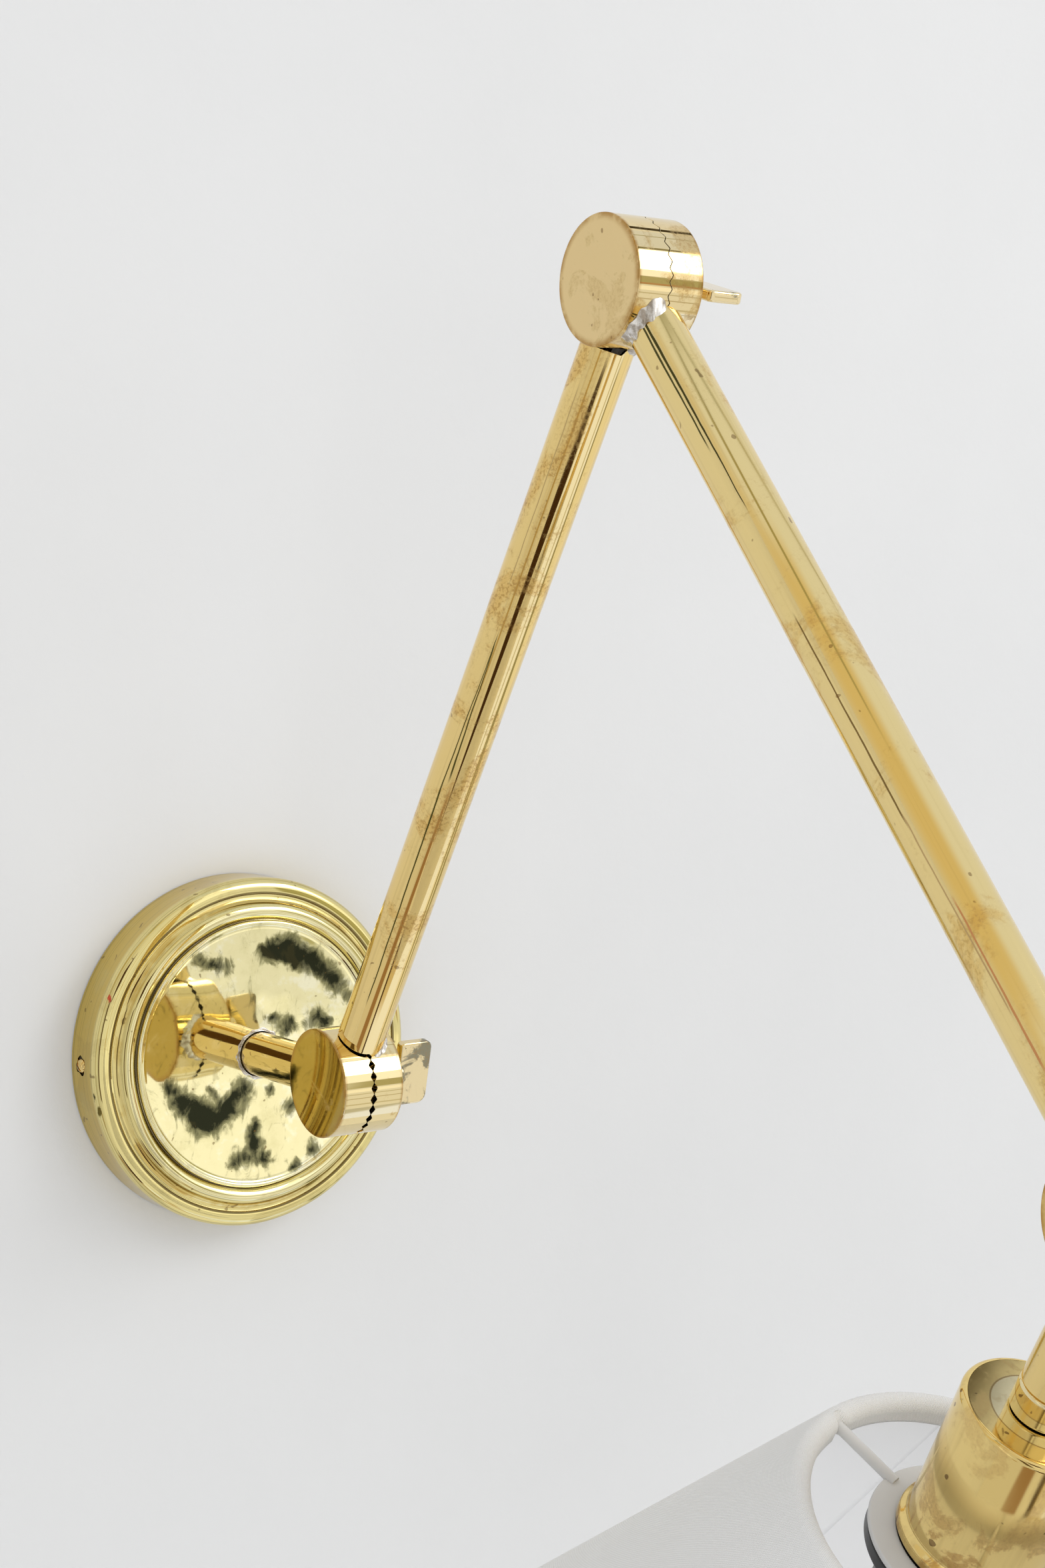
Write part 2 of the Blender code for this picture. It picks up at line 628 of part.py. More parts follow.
def terminal_block():
    base = STRAP_THICKNESS + SEAT
    low = (BLOCK_OFFSET, -BLOCK_WIDTH / 2, base)
    high = (BLOCK_OFFSET + BLOCK_LENGTH, BLOCK_WIDTH / 2, base + BLOCK_HEIGHT)
    block = add("terminal_block", box_mesh("terminal_block", low, high), WALL_FRAME, WALL, PORCELAIN)
    edge = block.modifiers.new("edges", "BEVEL")
    edge.width = BLOCK_EDGE
    edge.segments = 1
    pitch = BLOCK_LENGTH / 3
    for number in range(3):
        place = WALL_FRAME @ shift(BLOCK_OFFSET + pitch * (number + 0.5), 0, base + BLOCK_HEIGHT)
        drill(block, f"terminal_well_{number + 1}", TERMINAL_RADIUS + SEAT, -TERMINAL_DEPTH,
              PAST, place, HOLE_STEPS)
        deep, top = -TERMINAL_DEPTH + SEAT, -TERMINAL_SUNK
        barrel = [(0.0, top), (TERMINAL_RADIUS, top), (TERMINAL_RADIUS, deep), (0.0, deep)]
        turned(f"terminal_screw_{number + 1}", barrel, place, WALL, BRASS, HOLE_STEPS)


def stub():
    """Short tube from the canopy to the first knuckle, soldered at both ends."""
    inside = CANOPY_HEIGHT - DISC_DROP - CANOPY_WALL - 2 * TUBE_WALL
    wall = ring(TUBE_RADIUS - TUBE_WALL, TUBE_RADIUS, 0.5 * KNUCKLE_RADIUS, STUB_REACH - inside)
    piece = turned("stub_tube", wall, STUB_FOOT, WALL, BRASS, TUBE_STEPS)
    cope(piece, "stub", FIRST, LEFT)
    foot_solder("stub_knuckle_solder", STUB_FOOT, FIRST, LEFT, WALL)
    inner, base = TUBE_RADIUS + SEAT, CANOPY_HEIGHT - DISC_DROP + SEAT
    bead = [
        (inner, base + RING_SOLDER_RISE), (inner + 0.6 * RING_SOLDER_WIDTH, base + 0.6 * RING_SOLDER_RISE),
        (inner + RING_SOLDER_WIDTH, base), (inner, base),
    ]
    turned("stub_canopy_solder", bead, WALL_FRAME, WALL, SOLDER, TUBE_STEPS)


# ---------------------------------------------------------------- lamp head
def stem_and_cap():
    bore = TUBE_RADIUS - TUBE_WALL
    wall = [
        (bore, STEM_END), (TUBE_RADIUS - STEM_EDGE, STEM_END), (TUBE_RADIUS, STEM_END - STEM_EDGE),
        (TUBE_RADIUS, 0.5 * KNUCKLE_RADIUS), (bore, 0.5 * KNUCKLE_RADIUS),
    ]
    stem = turned("head_stem", wall, HEAD_FRAME, HEAD, BRASS, TUBE_STEPS)
    cope(stem, "head_stem", THIRD, RIGHT)
    foot_solder("head_stem_solder", HEAD_FRAME, THIRD, RIGHT, HEAD)
    hole = NIPPLE_RADIUS + SEAT
    bush = ring(hole, bore - SEAT, STEM_END - BUSH_LENGTH, STEM_END)
    turned("stem_bush", bush, HEAD_FRAME, HEAD, BRASS, SMALL_STEPS)
    collar = ring(hole, COLLAR_RADIUS, STEM_END + SEAT, CAP_TOP - SEAT)
    turned("stem_collar", collar, HEAD_FRAME, HEAD, BRASS, TUBE_STEPS)
    under = CAP_TOP + CAP_WALL
    nipple = ring(NIPPLE_RADIUS - NIPPLE_WALL, NIPPLE_RADIUS, STEM_END - NIPPLE_ENGAGED,
                  under + NUT_HEIGHT + NIPPLE_PROUD)
    turned("threaded_nipple", nipple, HEAD_FRAME, HEAD, STEEL, SMALL_STEPS)
    nut = cylinder_mesh("cap_nut", NUT_RADIUS, under + SEAT, under + SEAT + NUT_HEIGHT, 6)
    piece = add("cap_nut", nut, HEAD_FRAME, HEAD, BRASS)
    drill(piece, "cap_nut_hole", hole, under, under + NUT_HEIGHT + PAST, HEAD_FRAME)
    waist = CAP_BOTTOM - CAP_LIP_HEIGHT
    inner = CAP_WAIST - CAP_WALL
    cup = [
        (hole, CAP_TOP),
        *arc((CAP_RADIUS - CAP_EDGE, CAP_TOP + CAP_EDGE), CAP_EDGE, 270, 360, 3),
        (CAP_WAIST, waist), (CAP_LIP_RADIUS, waist + 0.4 * CAP_LIP_HEIGHT),
        (CAP_LIP_RADIUS, CAP_BOTTOM), (inner, CAP_BOTTOM), (inner, under), (hole, under),
    ]
    turned("lampholder_cap", cup, HEAD_FRAME, HEAD, BRASS, HOLDER_STEPS)


def lampholder():
    inside = CAP_WAIST - CAP_WALL - SEAT
    skirt_bore = SKIRT_RADIUS - SKIRT_WALL
    body = min(inside, skirt_bore - SEAT)
    pocket = SHELL_RADIUS + SEAT
    floor = CORE_TOP + CORE_FLOOR
    core = [
        (0.0, CORE_TOP), (body, CORE_TOP), (body, CORE_BOTTOM),
        (pocket, CORE_BOTTOM), (pocket, floor), (0.0, floor),
    ]
    turned("lampholder_core", core, HEAD_FRAME, HEAD, PORCELAIN, TUBE_STEPS)
    base = floor + SEAT
    hole = CONTACT_RADIUS + CONTACT_GAP
    bore = SHELL_RADIUS - SHELL_WALL
    shell = [
        (hole, base), (SHELL_RADIUS, base), (SHELL_RADIUS, SHELL_BOTTOM), (bore, SHELL_BOTTOM),
        (bore, base + SHELL_WALL), (hole, base + SHELL_WALL),
    ]
    turned("screw_shell", shell, HEAD_FRAME, HEAD, BRASS, TUBE_STEPS)
    button = [
        (0.0, base), (CONTACT_RADIUS, base), (CONTACT_RADIUS, base + 0.6 * CONTACT_HEIGHT),
        (0.5 * CONTACT_RADIUS, base + CONTACT_HEIGHT), (0.0, base + CONTACT_HEIGHT),
    ]
    turned("centre_contact", button, HEAD_FRAME, HEAD, BRASS, HOLE_STEPS)
    skirt = ring(skirt_bore, SKIRT_RADIUS, CAP_BOTTOM + SEAT, SKIRT_BOTTOM)
    turned("lampholder_skirt", skirt, HEAD_FRAME, HEAD, BLACK, HOLDER_STEPS)
    plate = CAP_BOTTOM + 2 * SEAT + FITTER_THICKNESS
    hole = SKIRT_RADIUS + SEAT
    clamp = [
        (hole, plate + SEAT), (RING_RADIUS - RING_EDGE, plate + SEAT),
        (RING_RADIUS, plate + SEAT + RING_EDGE),
        (RING_RADIUS, plate + 0.7 * RING_HEIGHT), (hole + RING_LIP, plate + RING_HEIGHT),
        (hole, plate + RING_HEIGHT),
    ]
    turned("shade_ring", clamp, HEAD_FRAME, HEAD, BLACK, HOLDER_STEPS)


def cone_radius(height):
    """Outer face of the cloth at a distance along the head axis."""
    lean = math.hypot(1.0, SHADE_SLOPE)
    wire = SHADE_TOP + HEM_RADIUS
    return SHADE_TOP_RADIUS + HEM_RADIUS * lean + SHADE_SLOPE * (height - wire)


def hem_profile(centre, top):
    """Cloth rolled over a shade wire: leg on the cone, roll, and a short return inside."""
    lean = math.degrees(math.atan(SHADE_SLOPE))
    if top:
        stops = (-lean, -70.0, -115.0, -180.0)
        along = 1.0
    else:
        stops = (-lean, 30.0, 100.0, 180.0)
        along = -1.0
    slope = math.hypot(1.0, SHADE_SLOPE)
    leg = Vector((SHADE_SLOPE, 1.0)) / slope * along * HEM_LEG
    inside = HEM_RADIUS - HEM_THICKNESS
    outer = [arc(centre, HEM_RADIUS, a, a, 2)[0] for a in stops]
    inner = [arc(centre, inside, a, a, 2)[0] for a in (stops[3], stops[2], stops[1], stops[0])]
    back = HEM_RETURN * along
    return [
        (outer[0][0] + leg.x, outer[0][1] + leg.y), *outer,
        (outer[-1][0], outer[-1][1] + back), (inner[0][0], inner[0][1] + back), *inner,
        (inner[-1][0] + leg.x, inner[-1][1] + leg.y),
    ]


def shade():
    slope = math.hypot(1.0, SHADE_SLOPE)
    top_wire = (SHADE_TOP_RADIUS, SHADE_TOP + HEM_RADIUS)
    low = SHADE_TOP + SHADE_HEIGHT - HEM_RADIUS
    low_wire = (cone_radius(low) - HEM_RADIUS * slope, low)
    profile = hem_profile(top_wire, True)
    top_hem = turned("shade_top_hem", profile, HEAD_FRAME, HEAD, CLOTH, SHADE_STEPS)
    turned("shade_bottom_hem", hem_profile(low_wire, False), HEAD_FRAME, HEAD, CLOTH, SHADE_STEPS)
    leg = HEM_LEG / slope + SEAT
    tangent = HEM_RADIUS * SHADE_SLOPE / slope
    start = top_wire[1] - tangent + leg
    end = low_wire[1] - tangent - leg
    inward, along = CLOTH_THICKNESS / slope, CLOTH_THICKNESS * SHADE_SLOPE / slope
    skin = [
        (cone_radius(end), end), (cone_radius(start), start),
        (cone_radius(start) - inward, start + along), (cone_radius(end) - inward, end + along),
    ]
    turned("shade_cloth", skin, HEAD_FRAME, HEAD, CLOTH, SHADE_STEPS)
    hoop = [arc(low_wire, WIRE_RADIUS, 60.0 * i, 60.0 * i, 2)[0] for i in range(6)]
    turned("shade_bottom_wire", hoop, HEAD_FRAME, HEAD, WHITE, SHADE_STEPS)
    fitter(top_wire, top_hem)


def fitter(top_wire, hem):
    """White fitter: clamped plate, three arms and the top wire, welded into one.

    The arms reach the wire through slits in the rolled hem.
    """
    low = CAP_BOTTOM + 2 * SEAT
    plate = ring(SKIRT_RADIUS + SEAT, FITTER_RADIUS, low, low + FITTER_THICKNESS)
    piece = turned("shade_fitter", plate, HEAD_FRAME, HEAD, WHITE, HOLDER_STEPS)
    start = Vector((FITTER_RADIUS - WELD_INSET, 0, low + FITTER_THICKNESS - WIRE_RADIUS))
    end = Vector((top_wire[0], 0, top_wire[1]))
    length = (end - start).length
    hoop = [arc(top_wire, WIRE_RADIUS, 60.0 * i, 60.0 * i, 2)[0] for i in range(6)]
    for number in range(3):
        aim = (end - start).to_track_quat("Z", "Y").to_matrix().to_4x4()
        spin = turn(FITTER_ARM_TURN + number * math.tau / 3, "Z")
        name = f"fitter_arm_{number + 1}"
        rod = cylinder_mesh(name, WIRE_RADIUS * 0.98, 0.0, length, WIRE_STEPS)
        frame = HEAD_FRAME @ spin @ Matrix.Translation(start) @ aim
        combine(piece, tool(name, rod, frame), "UNION")
        slit = cylinder_mesh(name + "_slit", WIRE_RADIUS + SEAT, length - SLIT_LENGTH, length, WIRE_STEPS)
        combine(hem, tool(name + "_slit", slit, frame))
    combine(piece, turned_tool("fitter_hoop", hoop, HEAD_FRAME, SHADE_STEPS), "UNION")


# ---------------------------------------------------------------- the whole lamp
canopy_and_bracket()
terminal_block()
stub()

knuckle_half("wall_knuckle_left", FIRST, LEFT, WALL, [STUB_FOOT], 0)
knuckle_half("wall_knuckle_right", FIRST, RIGHT, LOWER, [LOWER_FRAME], 0)
knuckle_half("elbow_knuckle_right", SECOND, RIGHT, LOWER, [LOWER_TOP], 0)
knuckle_half("elbow_knuckle_left", SECOND, LEFT, UPPER, [UPPER_FRAME], 1)
knuckle_half("head_knuckle_left", THIRD, LEFT, UPPER, [UPPER_END], 0)
knuckle_half("head_knuckle_right", THIRD, RIGHT, HEAD, [HEAD_FRAME], 1)

arm_tube("lower_arm_tube", LOWER, FIRST, SECOND, RIGHT)
arm_tube("upper_arm_tube", UPPER, SECOND, THIRD, LEFT)
foot_solder("lower_arm_root_solder", LOWER_FRAME, FIRST, RIGHT, LOWER)
foot_solder("lower_arm_end_solder", LOWER_TOP, SECOND, RIGHT, LOWER)
foot_solder("upper_arm_root_solder", UPPER_FRAME, SECOND, LEFT, UPPER)
foot_solder("upper_arm_end_solder", UPPER_END, THIRD, LEFT, UPPER)

wing_key("wall_key", FIRST, KEY_TURNS["wall"], WALL)
wing_key("elbow_key", SECOND, KEY_TURNS["elbow"], UPPER)
wing_key("head_key", THIRD, KEY_TURNS["head"], UPPER)

stem_and_cap()
lampholder()
shade()

# Lead: a length in each body, meeting the next inside the knuckles
wall_turn = between(FIRST, STUB_FOOT, LOWER_FRAME)
elbow_turn = between(SECOND, LOWER_TOP, UPPER_FRAME)
head_turn = between(THIRD, UPPER_END, HEAD_FRAME)

end, lane = knuckle_lane(FIRST, STUB_FOOT, wall_turn, LEFT)
terminal = Vector((BLOCK_OFFSET - SEAT, -STRAP_THICKNESS - 0.5 * BLOCK_HEIGHT, 0))
bend = CANOPY_HEIGHT - DISC_DROP + LEAD_RADIUS
lead("lead_wall", WALL,
     [terminal, terminal + Vector((-0.35 * BLOCK_OFFSET, 0, 0)), Vector((0, -bend, 0)),
      FIRST + Vector((0, LEAD_SETTLE, 0)) * 0.8, *lane[::-1]],
     [1, 3, 1, 2, 1, 2, 2], straight_end=end)

end, lane = knuckle_lane(FIRST, LOWER_FRAME, wall_turn, RIGHT)
far_end, far_lane = knuckle_lane(SECOND, LOWER_TOP, elbow_turn, RIGHT)
lead("lead_lower_arm", LOWER,
     [*lane, LOWER_FRAME @ (Z * LEAD_SETTLE), LOWER_TOP @ (Z * LEAD_SETTLE), *far_lane[::-1]],
     [2, 2, 1, 2, 8, 2, 1, 2, 2], straight_start=end, straight_end=far_end)

end, lane = knuckle_lane(SECOND, UPPER_FRAME, elbow_turn, LEFT)
far_end, far_lane = knuckle_lane(THIRD, UPPER_END, head_turn, LEFT)
lead("lead_upper_arm", UPPER,
     [*lane, UPPER_FRAME @ (Z * LEAD_SETTLE), UPPER_END @ (Z * LEAD_SETTLE), *far_lane[::-1]],
     [2, 2, 1, 2, 8, 2, 1, 2, 2], straight_start=end, straight_end=far_end)

end, lane = knuckle_lane(THIRD, HEAD_FRAME, head_turn, RIGHT)
lead("lead_head", HEAD,
     [*lane, HEAD_FRAME @ (Z * (STEM_END - BUSH_LENGTH)), HEAD_FRAME @ (Z * CAP_TOP),
      HEAD_FRAME @ (Z * (CORE_TOP - SEAT))],
     [2, 2, 1, 2, 1, 1], straight_start=end)
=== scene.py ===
import json
import math

import bmesh
import bpy
import numpy as np
from mathutils import Euler, Matrix, Vector


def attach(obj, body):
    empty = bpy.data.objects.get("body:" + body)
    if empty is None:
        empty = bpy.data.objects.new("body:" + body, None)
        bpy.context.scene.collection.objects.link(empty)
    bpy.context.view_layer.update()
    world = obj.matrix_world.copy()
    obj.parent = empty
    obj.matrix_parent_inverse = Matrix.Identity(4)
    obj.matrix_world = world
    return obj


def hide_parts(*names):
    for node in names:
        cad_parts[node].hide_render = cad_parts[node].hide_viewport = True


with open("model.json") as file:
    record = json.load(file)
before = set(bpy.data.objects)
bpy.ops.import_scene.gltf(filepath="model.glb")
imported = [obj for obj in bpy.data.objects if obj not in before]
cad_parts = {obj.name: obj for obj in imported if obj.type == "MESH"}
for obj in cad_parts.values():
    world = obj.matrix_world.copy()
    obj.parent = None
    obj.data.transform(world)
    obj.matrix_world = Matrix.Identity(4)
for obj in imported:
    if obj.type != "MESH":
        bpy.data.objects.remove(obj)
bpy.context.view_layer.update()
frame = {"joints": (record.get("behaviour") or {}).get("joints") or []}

MM = 0.001
TAU = math.tau

# ---------------------------------------------------------------- sizes, as in the solids
TUBE = 7.94 * MM
TUBE_BORE = 6.94 * MM
KNUCKLE = 18.5 * MM
KNUCKLE_HALF = 11.5 * MM
TEETH = 30
TOOTH = 1.1 * MM
KEY_SPAN = 23.0 * MM
KEY_REACH = 12.6 * MM
KEY_NECK = 8.2 * MM
KEY_THICK = 3.5 * MM
KEY_TURNS = {"wall": math.radians(12.5), "elbow": math.radians(107.0), "head": math.radians(35.0)}
HEAD_LEAN = math.radians(28.1)
CANOPY = 63.5 * MM
DISC_RISE = 21.2 * MM
SHADE_TOP = 97.2 * MM
SHADE_SLOPE = 0.532
WIRE_RING = 45.6 * MM
HEM = 3.0 * MM
SHADE_HEIGHT = 150.0 * MM
FITTER_TURN = math.radians(15.0)
HAIRLINE = 0.26 * MM


# ---------------------------------------------------------------- places
def unit(v):
    return np.asarray(v, float) / np.linalg.norm(v)


class Place:
    """A frame to draw in: local Z along a tube or screw, local X along the knuckles' axes."""

    def __init__(self, origin, aim, side=(1.0, 0.0, 0.0)):
        self.origin = np.asarray(origin, float)
        z = unit(aim)
        x = unit(np.asarray(side, float) - np.dot(side, z) * z)
        self.axes = np.stack([x, np.cross(z, x), z])

    def world(self, points):
        return self.origin + np.asarray(points, float) @ self.axes


def hinge(name):
    return np.array(next(j["pos_m"] for j in frame["joints"] if j["name"] == name), float)


FIRST, SECOND, THIRD = hinge("lower_arm_hinge"), hinge("upper_arm_hinge"), hinge("head_hinge")
ON_WALL = Place((0, 0, 0), (0, -1, 0))
STUB = Place(FIRST, (0, 1, 0))
LOWER = Place(FIRST, SECOND - FIRST)
LOWER_TOP = Place(SECOND, FIRST - SECOND)
UPPER = Place(SECOND, THIRD - SECOND)
UPPER_END = Place(THIRD, SECOND - THIRD)
HEAD = Place(THIRD, (0, math.sin(HEAD_LEAN), -math.cos(HEAD_LEAN)))
ARM = float(np.linalg.norm(SECOND - FIRST))


# ---------------------------------------------------------------- shapes
def surface(name, grid, around=True, along=False, uv=None):
    """Four-sided faces between neighbours on a grid of points (rows, columns, xyz).

    around joins the last column to the first and along the last row to the first. Doubled
    points are merged, so a row at one point becomes a pole, and faces are turned outwards.
    """
    rows, columns = grid.shape[:2]
    i, j = np.meshgrid(np.arange(rows if along else rows - 1),
                       np.arange(columns if around else columns - 1), indexing="ij")
    below, beside = (i + 1) % rows, (j + 1) % columns
    corners = np.stack([i * columns + j, i * columns + beside,
                        below * columns + beside, below * columns + j], -1).reshape(-1, 4)
    mesh = bpy.data.meshes.new(name)
    mesh.from_pydata(grid.reshape(-1, 3).tolist(), [], corners.tolist())
    if uv is not None:
        u, v = uv
        square = np.stack([np.stack([u[j], v[i]], -1), np.stack([u[j + 1], v[i]], -1),
                           np.stack([u[j + 1], v[below]], -1), np.stack([u[j], v[below]], -1)], 2)
        mesh.uv_layers.new(name="cloth").data.foreach_set("uv", square.astype(np.float32).ravel())
    form = bmesh.new()
    form.from_mesh(mesh)
    bmesh.ops.remove_doubles(form, verts=form.verts, dist=2e-7)
    bmesh.ops.recalc_face_normals(form, faces=form.faces)
    form.to_mesh(mesh)
    form.free()
    return mesh


def show(name, mesh, body, finish, stands_for=(), crease=34.0):
    """Puts a mesh in the scene: its finish, the body it rides on and the nodes it stands for."""
    mesh.shade_smooth()
    mesh.set_sharp_from_angle(angle=math.radians(crease))
    mesh.materials.append(finish)
    piece = bpy.data.objects.new(name, mesh)
    bpy.context.scene.collection.objects.link(piece)
    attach(piece, body)
    if stands_for:
        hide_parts(*stands_for)
    return piece


def rounded(corners, radii, closed=True, steps=6):
    """Profile with eased corners.

    Each corner is a circular arc, drawn as a rational quadratic whose middle weight is the
    sine of half the corner's angle, with one more point just outside each end of the arc, so
    that the flats beside it stay flat in the light.
    """
    p = np.asarray(corners, float) * MM
    r = np.broadcast_to(np.asarray(radii, float) * MM, len(p)).copy()
    if not closed:
        r[0] = r[-1] = 0.0
    back, on = np.roll(p, 1, 0) - p, np.roll(p, -1, 0) - p
    long_back, long_on = np.linalg.norm(back, axis=1), np.linalg.norm(on, axis=1)
    back, on = back / long_back[:, None], on / long_on[:, None]
    angle = np.arccos(np.clip((back * on).sum(1), -0.9999, 0.9999))
    cut = np.minimum(r / np.tan(angle / 2), 0.42 * np.minimum(long_back, long_on))
    t = np.linspace(0, 1, steps)[None, :, None]
    first, last = (p + back * cut[:, None])[:, None], (p + on * cut[:, None])[:, None]
    w = np.sin(angle / 2)[:, None, None]
    share = (1 - t) ** 2 + 2 * w * t * (1 - t) + t ** 2
    arc = ((1 - t) ** 2 * first + 2 * w * t * (1 - t) * p[:, None] + t ** 2 * last) / share
    edge = np.minimum(0.12 * MM, 0.3 * cut)[:, None]
    lead_in = (first[:, 0] + back * edge)[:, None]
    lead_out = (last[:, 0] + on * edge)[:, None]
    points = np.concatenate([lead_in, arc, lead_out], 1)
    points[r == 0] = p[r == 0][:, None]
    return points.reshape(-1, 2)


def revolve(profile, place, steps=160):
    """Turned surface: (radius, height) goes round the place's Z axis."""
    turn = np.arange(steps) * TAU / steps
    r, h = profile[:, 0, None], profile[:, 1, None]
    return place.world(np.stack([r * np.cos(turn), r * np.sin(turn), h + 0 * turn], -1))


def turned(name, corners, radii, place, body, finish, stands_for, steps=160, closed=True, arc=6):
    """A turned piece from its profile in millimetres; an open profile starts and ends on the axis."""
    grid = revolve(rounded(corners, radii, closed, arc), place, steps)
    return show(name, surface(name, grid, along=closed), body, finish, stands_for)


def smooth_step(x):
    x = np.clip(x, 0, 1)
    return x * x * (3 - 2 * x)


def ripple(angle, height, seed, waves=14, turns=(2, 9), pitch=(300, 1500)):
    """Gentle unevenness, about -1 to 1: a sum of sine waves with whole turns round the piece."""
    draw = np.random.default_rng(seed)
    k = draw.integers(turns[0], turns[1], waves)[:, None, None]
    q = draw.uniform(pitch[0], pitch[1], waves)[:, None, None]
    start = draw.uniform(0, TAU, waves)[:, None, None]
    return np.sin(k * angle + q * height + start).sum(0) / math.sqrt(waves)


# ---------------------------------------------------------------- node wiring
class Wiring:
    """Adds nodes to a tree; inputs are numbers, colours or other nodes' outputs."""

    def __init__(self, tree):
        self.tree = tree

    def add(self, kind, inputs=None, **settings):
        node = self.tree.nodes.new("ShaderNode" + kind)
        for key, value in settings.items():
            setattr(node, key, value)
        for key, value in (inputs or {}).items():
            self.feed(node.inputs[key], value)
        return node

    def feed(self, socket, value):
        if isinstance(value, bpy.types.NodeSocket):
            self.tree.links.new(value, socket)
        else:
            socket.default_value = value

    def noise(self, vector, scale, detail=2.0, rough=0.5, distort=0.0):
        return self.add("TexNoise", {"Vector": vector, "Scale": scale, "Detail": detail,
                                     "Roughness": rough, "Distortion": distort}).outputs["Fac"]

    def math(self, operation, a, b=0.0, clamp=False):
        node = self.add("Math", {0: a, 1: b}, operation=operation, use_clamp=clamp)
        return node.outputs[0]

    def times(self, a, b):
        return self.math("MULTIPLY", a, b)

    def plus(self, a, b):
        return self.math("ADD", a, b)

    def from_axis(self, parts):
        """Distance from the Z axis: the root of X squared plus Y squared."""
        squares = [self.times(parts[axis], parts[axis]) for axis in "XY"]
        return self.math("SQRT", self.plus(*squares))

    def spread(self, value, low, high, to_low=0.0, to_high=1.0):
        """Brings low..high to to_low..to_high with soft ends."""
        return self.add("MapRange", {"Value": value, "From Min": low, "From Max": high,
                                     "To Min": to_low, "To Max": to_high},
                        interpolation_type="SMOOTHSTEP").outputs["Result"]

    def band(self, value, start, full, last, end):
        """One from full to last, falling softly to nothing at start and at end."""
        return self.times(self.spread(value, start, full), self.spread(value, end, last))

    def blend(self, share, a, b, way="MIX"):
        node = self.add("Mix", data_type="RGBA", blend_type=way)
        self.feed(node.inputs[0], share)
        self.feed(node.inputs[6], a)
        self.feed(node.inputs[7], b)
        return node.outputs[2]

    def post(self, turn, along, near, far, end, other, thick, thin, soft, tip):
        """A line that leans and tapers: its turn and half width change evenly between its ends."""
        centre, half = (self.add("MapRange", {"Value": along, "From Min": end, "From Max": other, "To Min": a,
                                              "To Max": b}).outputs[0] for a,
                        b in ((near, far), (thick, thin)))
        off = self.math("ABSOLUTE", self.math("SUBTRACT", turn, centre))
        side = self.spread(self.math("SUBTRACT", off, half), soft, 0.0)
        return self.times(side, self.times(self.spread(along, end - tip, end + tip / 2),
                                           self.spread(along, other + tip, other - tip / 2)))

    def stretch(self, vector, scale):
        return self.add("Mapping", {"Vector": vector, "Scale": scale}).outputs["Vector"]

    def bump(self, height, depth, normal=None, strength=1.0):
        node = self.add("Bump", {"Height": height, "Distance": depth, "Strength": strength})
        if normal is not None:
            self.feed(node.inputs["Normal"], normal)
        return node.outputs["Normal"]


def new_group(name, inputs, outputs):
    """Empty node group: inputs are (name, kind, value), outputs (name, kind)."""
    tree = bpy.data.node_groups.new(name, "ShaderNodeTree")
    for title, kind, value in inputs:
        socket = tree.interface.new_socket(name=title, in_out="INPUT", socket_type="NodeSocket" + kind)
        if value is not None:
            socket.default_value = value
    for title, kind in outputs:
        tree.interface.new_socket(name=title, in_out="OUTPUT", socket_type="NodeSocket" + kind)
    wiring = Wiring(tree)
    source = tree.nodes.new("NodeGroupInput").outputs
    sink = tree.nodes.new("NodeGroupOutput").inputs
    return tree, wiring, source, sink


def tarnish_group():
    """Patches where lacquer has gone, fine brown mottling inside them, and dark specks."""
    tree, w, source, sink = new_group(
        "tarnish",
        [("Vector", "Vector", None), ("Patch Scale", "Float", 60.0), ("Cover", "Float", 0.5),
         ("Speck Scale", "Float", 900.0)],
        [("Patches", "Float"), ("Mottle", "Float"), ("Specks", "Float")])
    big = w.noise(source["Vector"], source["Patch Scale"], 5.0, 0.62, 0.9)
    edge = w.math("SUBTRACT", 0.72, w.times(source["Cover"], 0.34))
    patches = w.spread(big, edge, w.plus(edge, 0.07))
    fine = w.noise(source["Vector"], source["Speck Scale"], 3.0, 0.65, 0.5)
    wider = w.spread(big, w.math("SUBTRACT", edge, 0.05), w.plus(edge, 0.08))
    dots = w.noise(source["Vector"], w.times(source["Speck Scale"], 0.31), 1.0, 0.5)
    w.feed(sink["Patches"], patches)
    w.feed(sink["Mottle"], w.times(w.spread(fine, 0.46, 0.62), wider))
    w.feed(sink["Specks"], w.spread(dots, 0.735, 0.765))
    return tree


def polish_group():
    """Marks of the polishing wheel: fine lines along local Z, and slow waves in the surface."""
    tree, w, source, sink = new_group(
        "polish_marks",
        [("Vector", "Vector", None), ("Line Scale", "Float", 900.0), ("Wave Scale", "Float", 70.0)],
        [("Lines", "Float"), ("Waves", "Float")])
    drawn = w.stretch(source["Vector"], (1.0, 1.0, 0.02))
    w.feed(sink["Lines"], w.noise(drawn, source["Line Scale"], 3.0, 0.6))
    w.feed(sink["Waves"], w.noise(source["Vector"], source["Wave Scale"], 1.0, 0.4))
    return tree


def weave_group():
    """Plain weave on the cloth's own map in metres: threads as two crossed sine waves."""
    tree, w, source, sink = new_group(
        "plain_weave", [("Vector", "Vector", None), ("Threads", "Float", 2100.0)],
        [("Height", "Float"), ("Slub", "Float")])
    wander = w.noise(source["Vector"], 160.0, 2.0)
    shifted = w.add("VectorMath", {0: source["Vector"], 1: w.times(wander, 0.0006)},
                    operation="ADD").outputs[0]
    parts = w.add("SeparateXYZ", {0: shifted}).outputs
    warp = w.math("SINE", w.times(parts["X"], w.times(source["Threads"], 3.14159)))
    weft = w.math("SINE", w.times(parts["Y"], w.times(source["Threads"], 3.14159)))
    w.feed(sink["Height"], w.plus(w.times(warp, weft), 1.0))
    w.feed(sink["Slub"], w.noise(w.stretch(source["Vector"], (1.0, 12.0, 1.0)), 500.0, 3.0))
    return tree


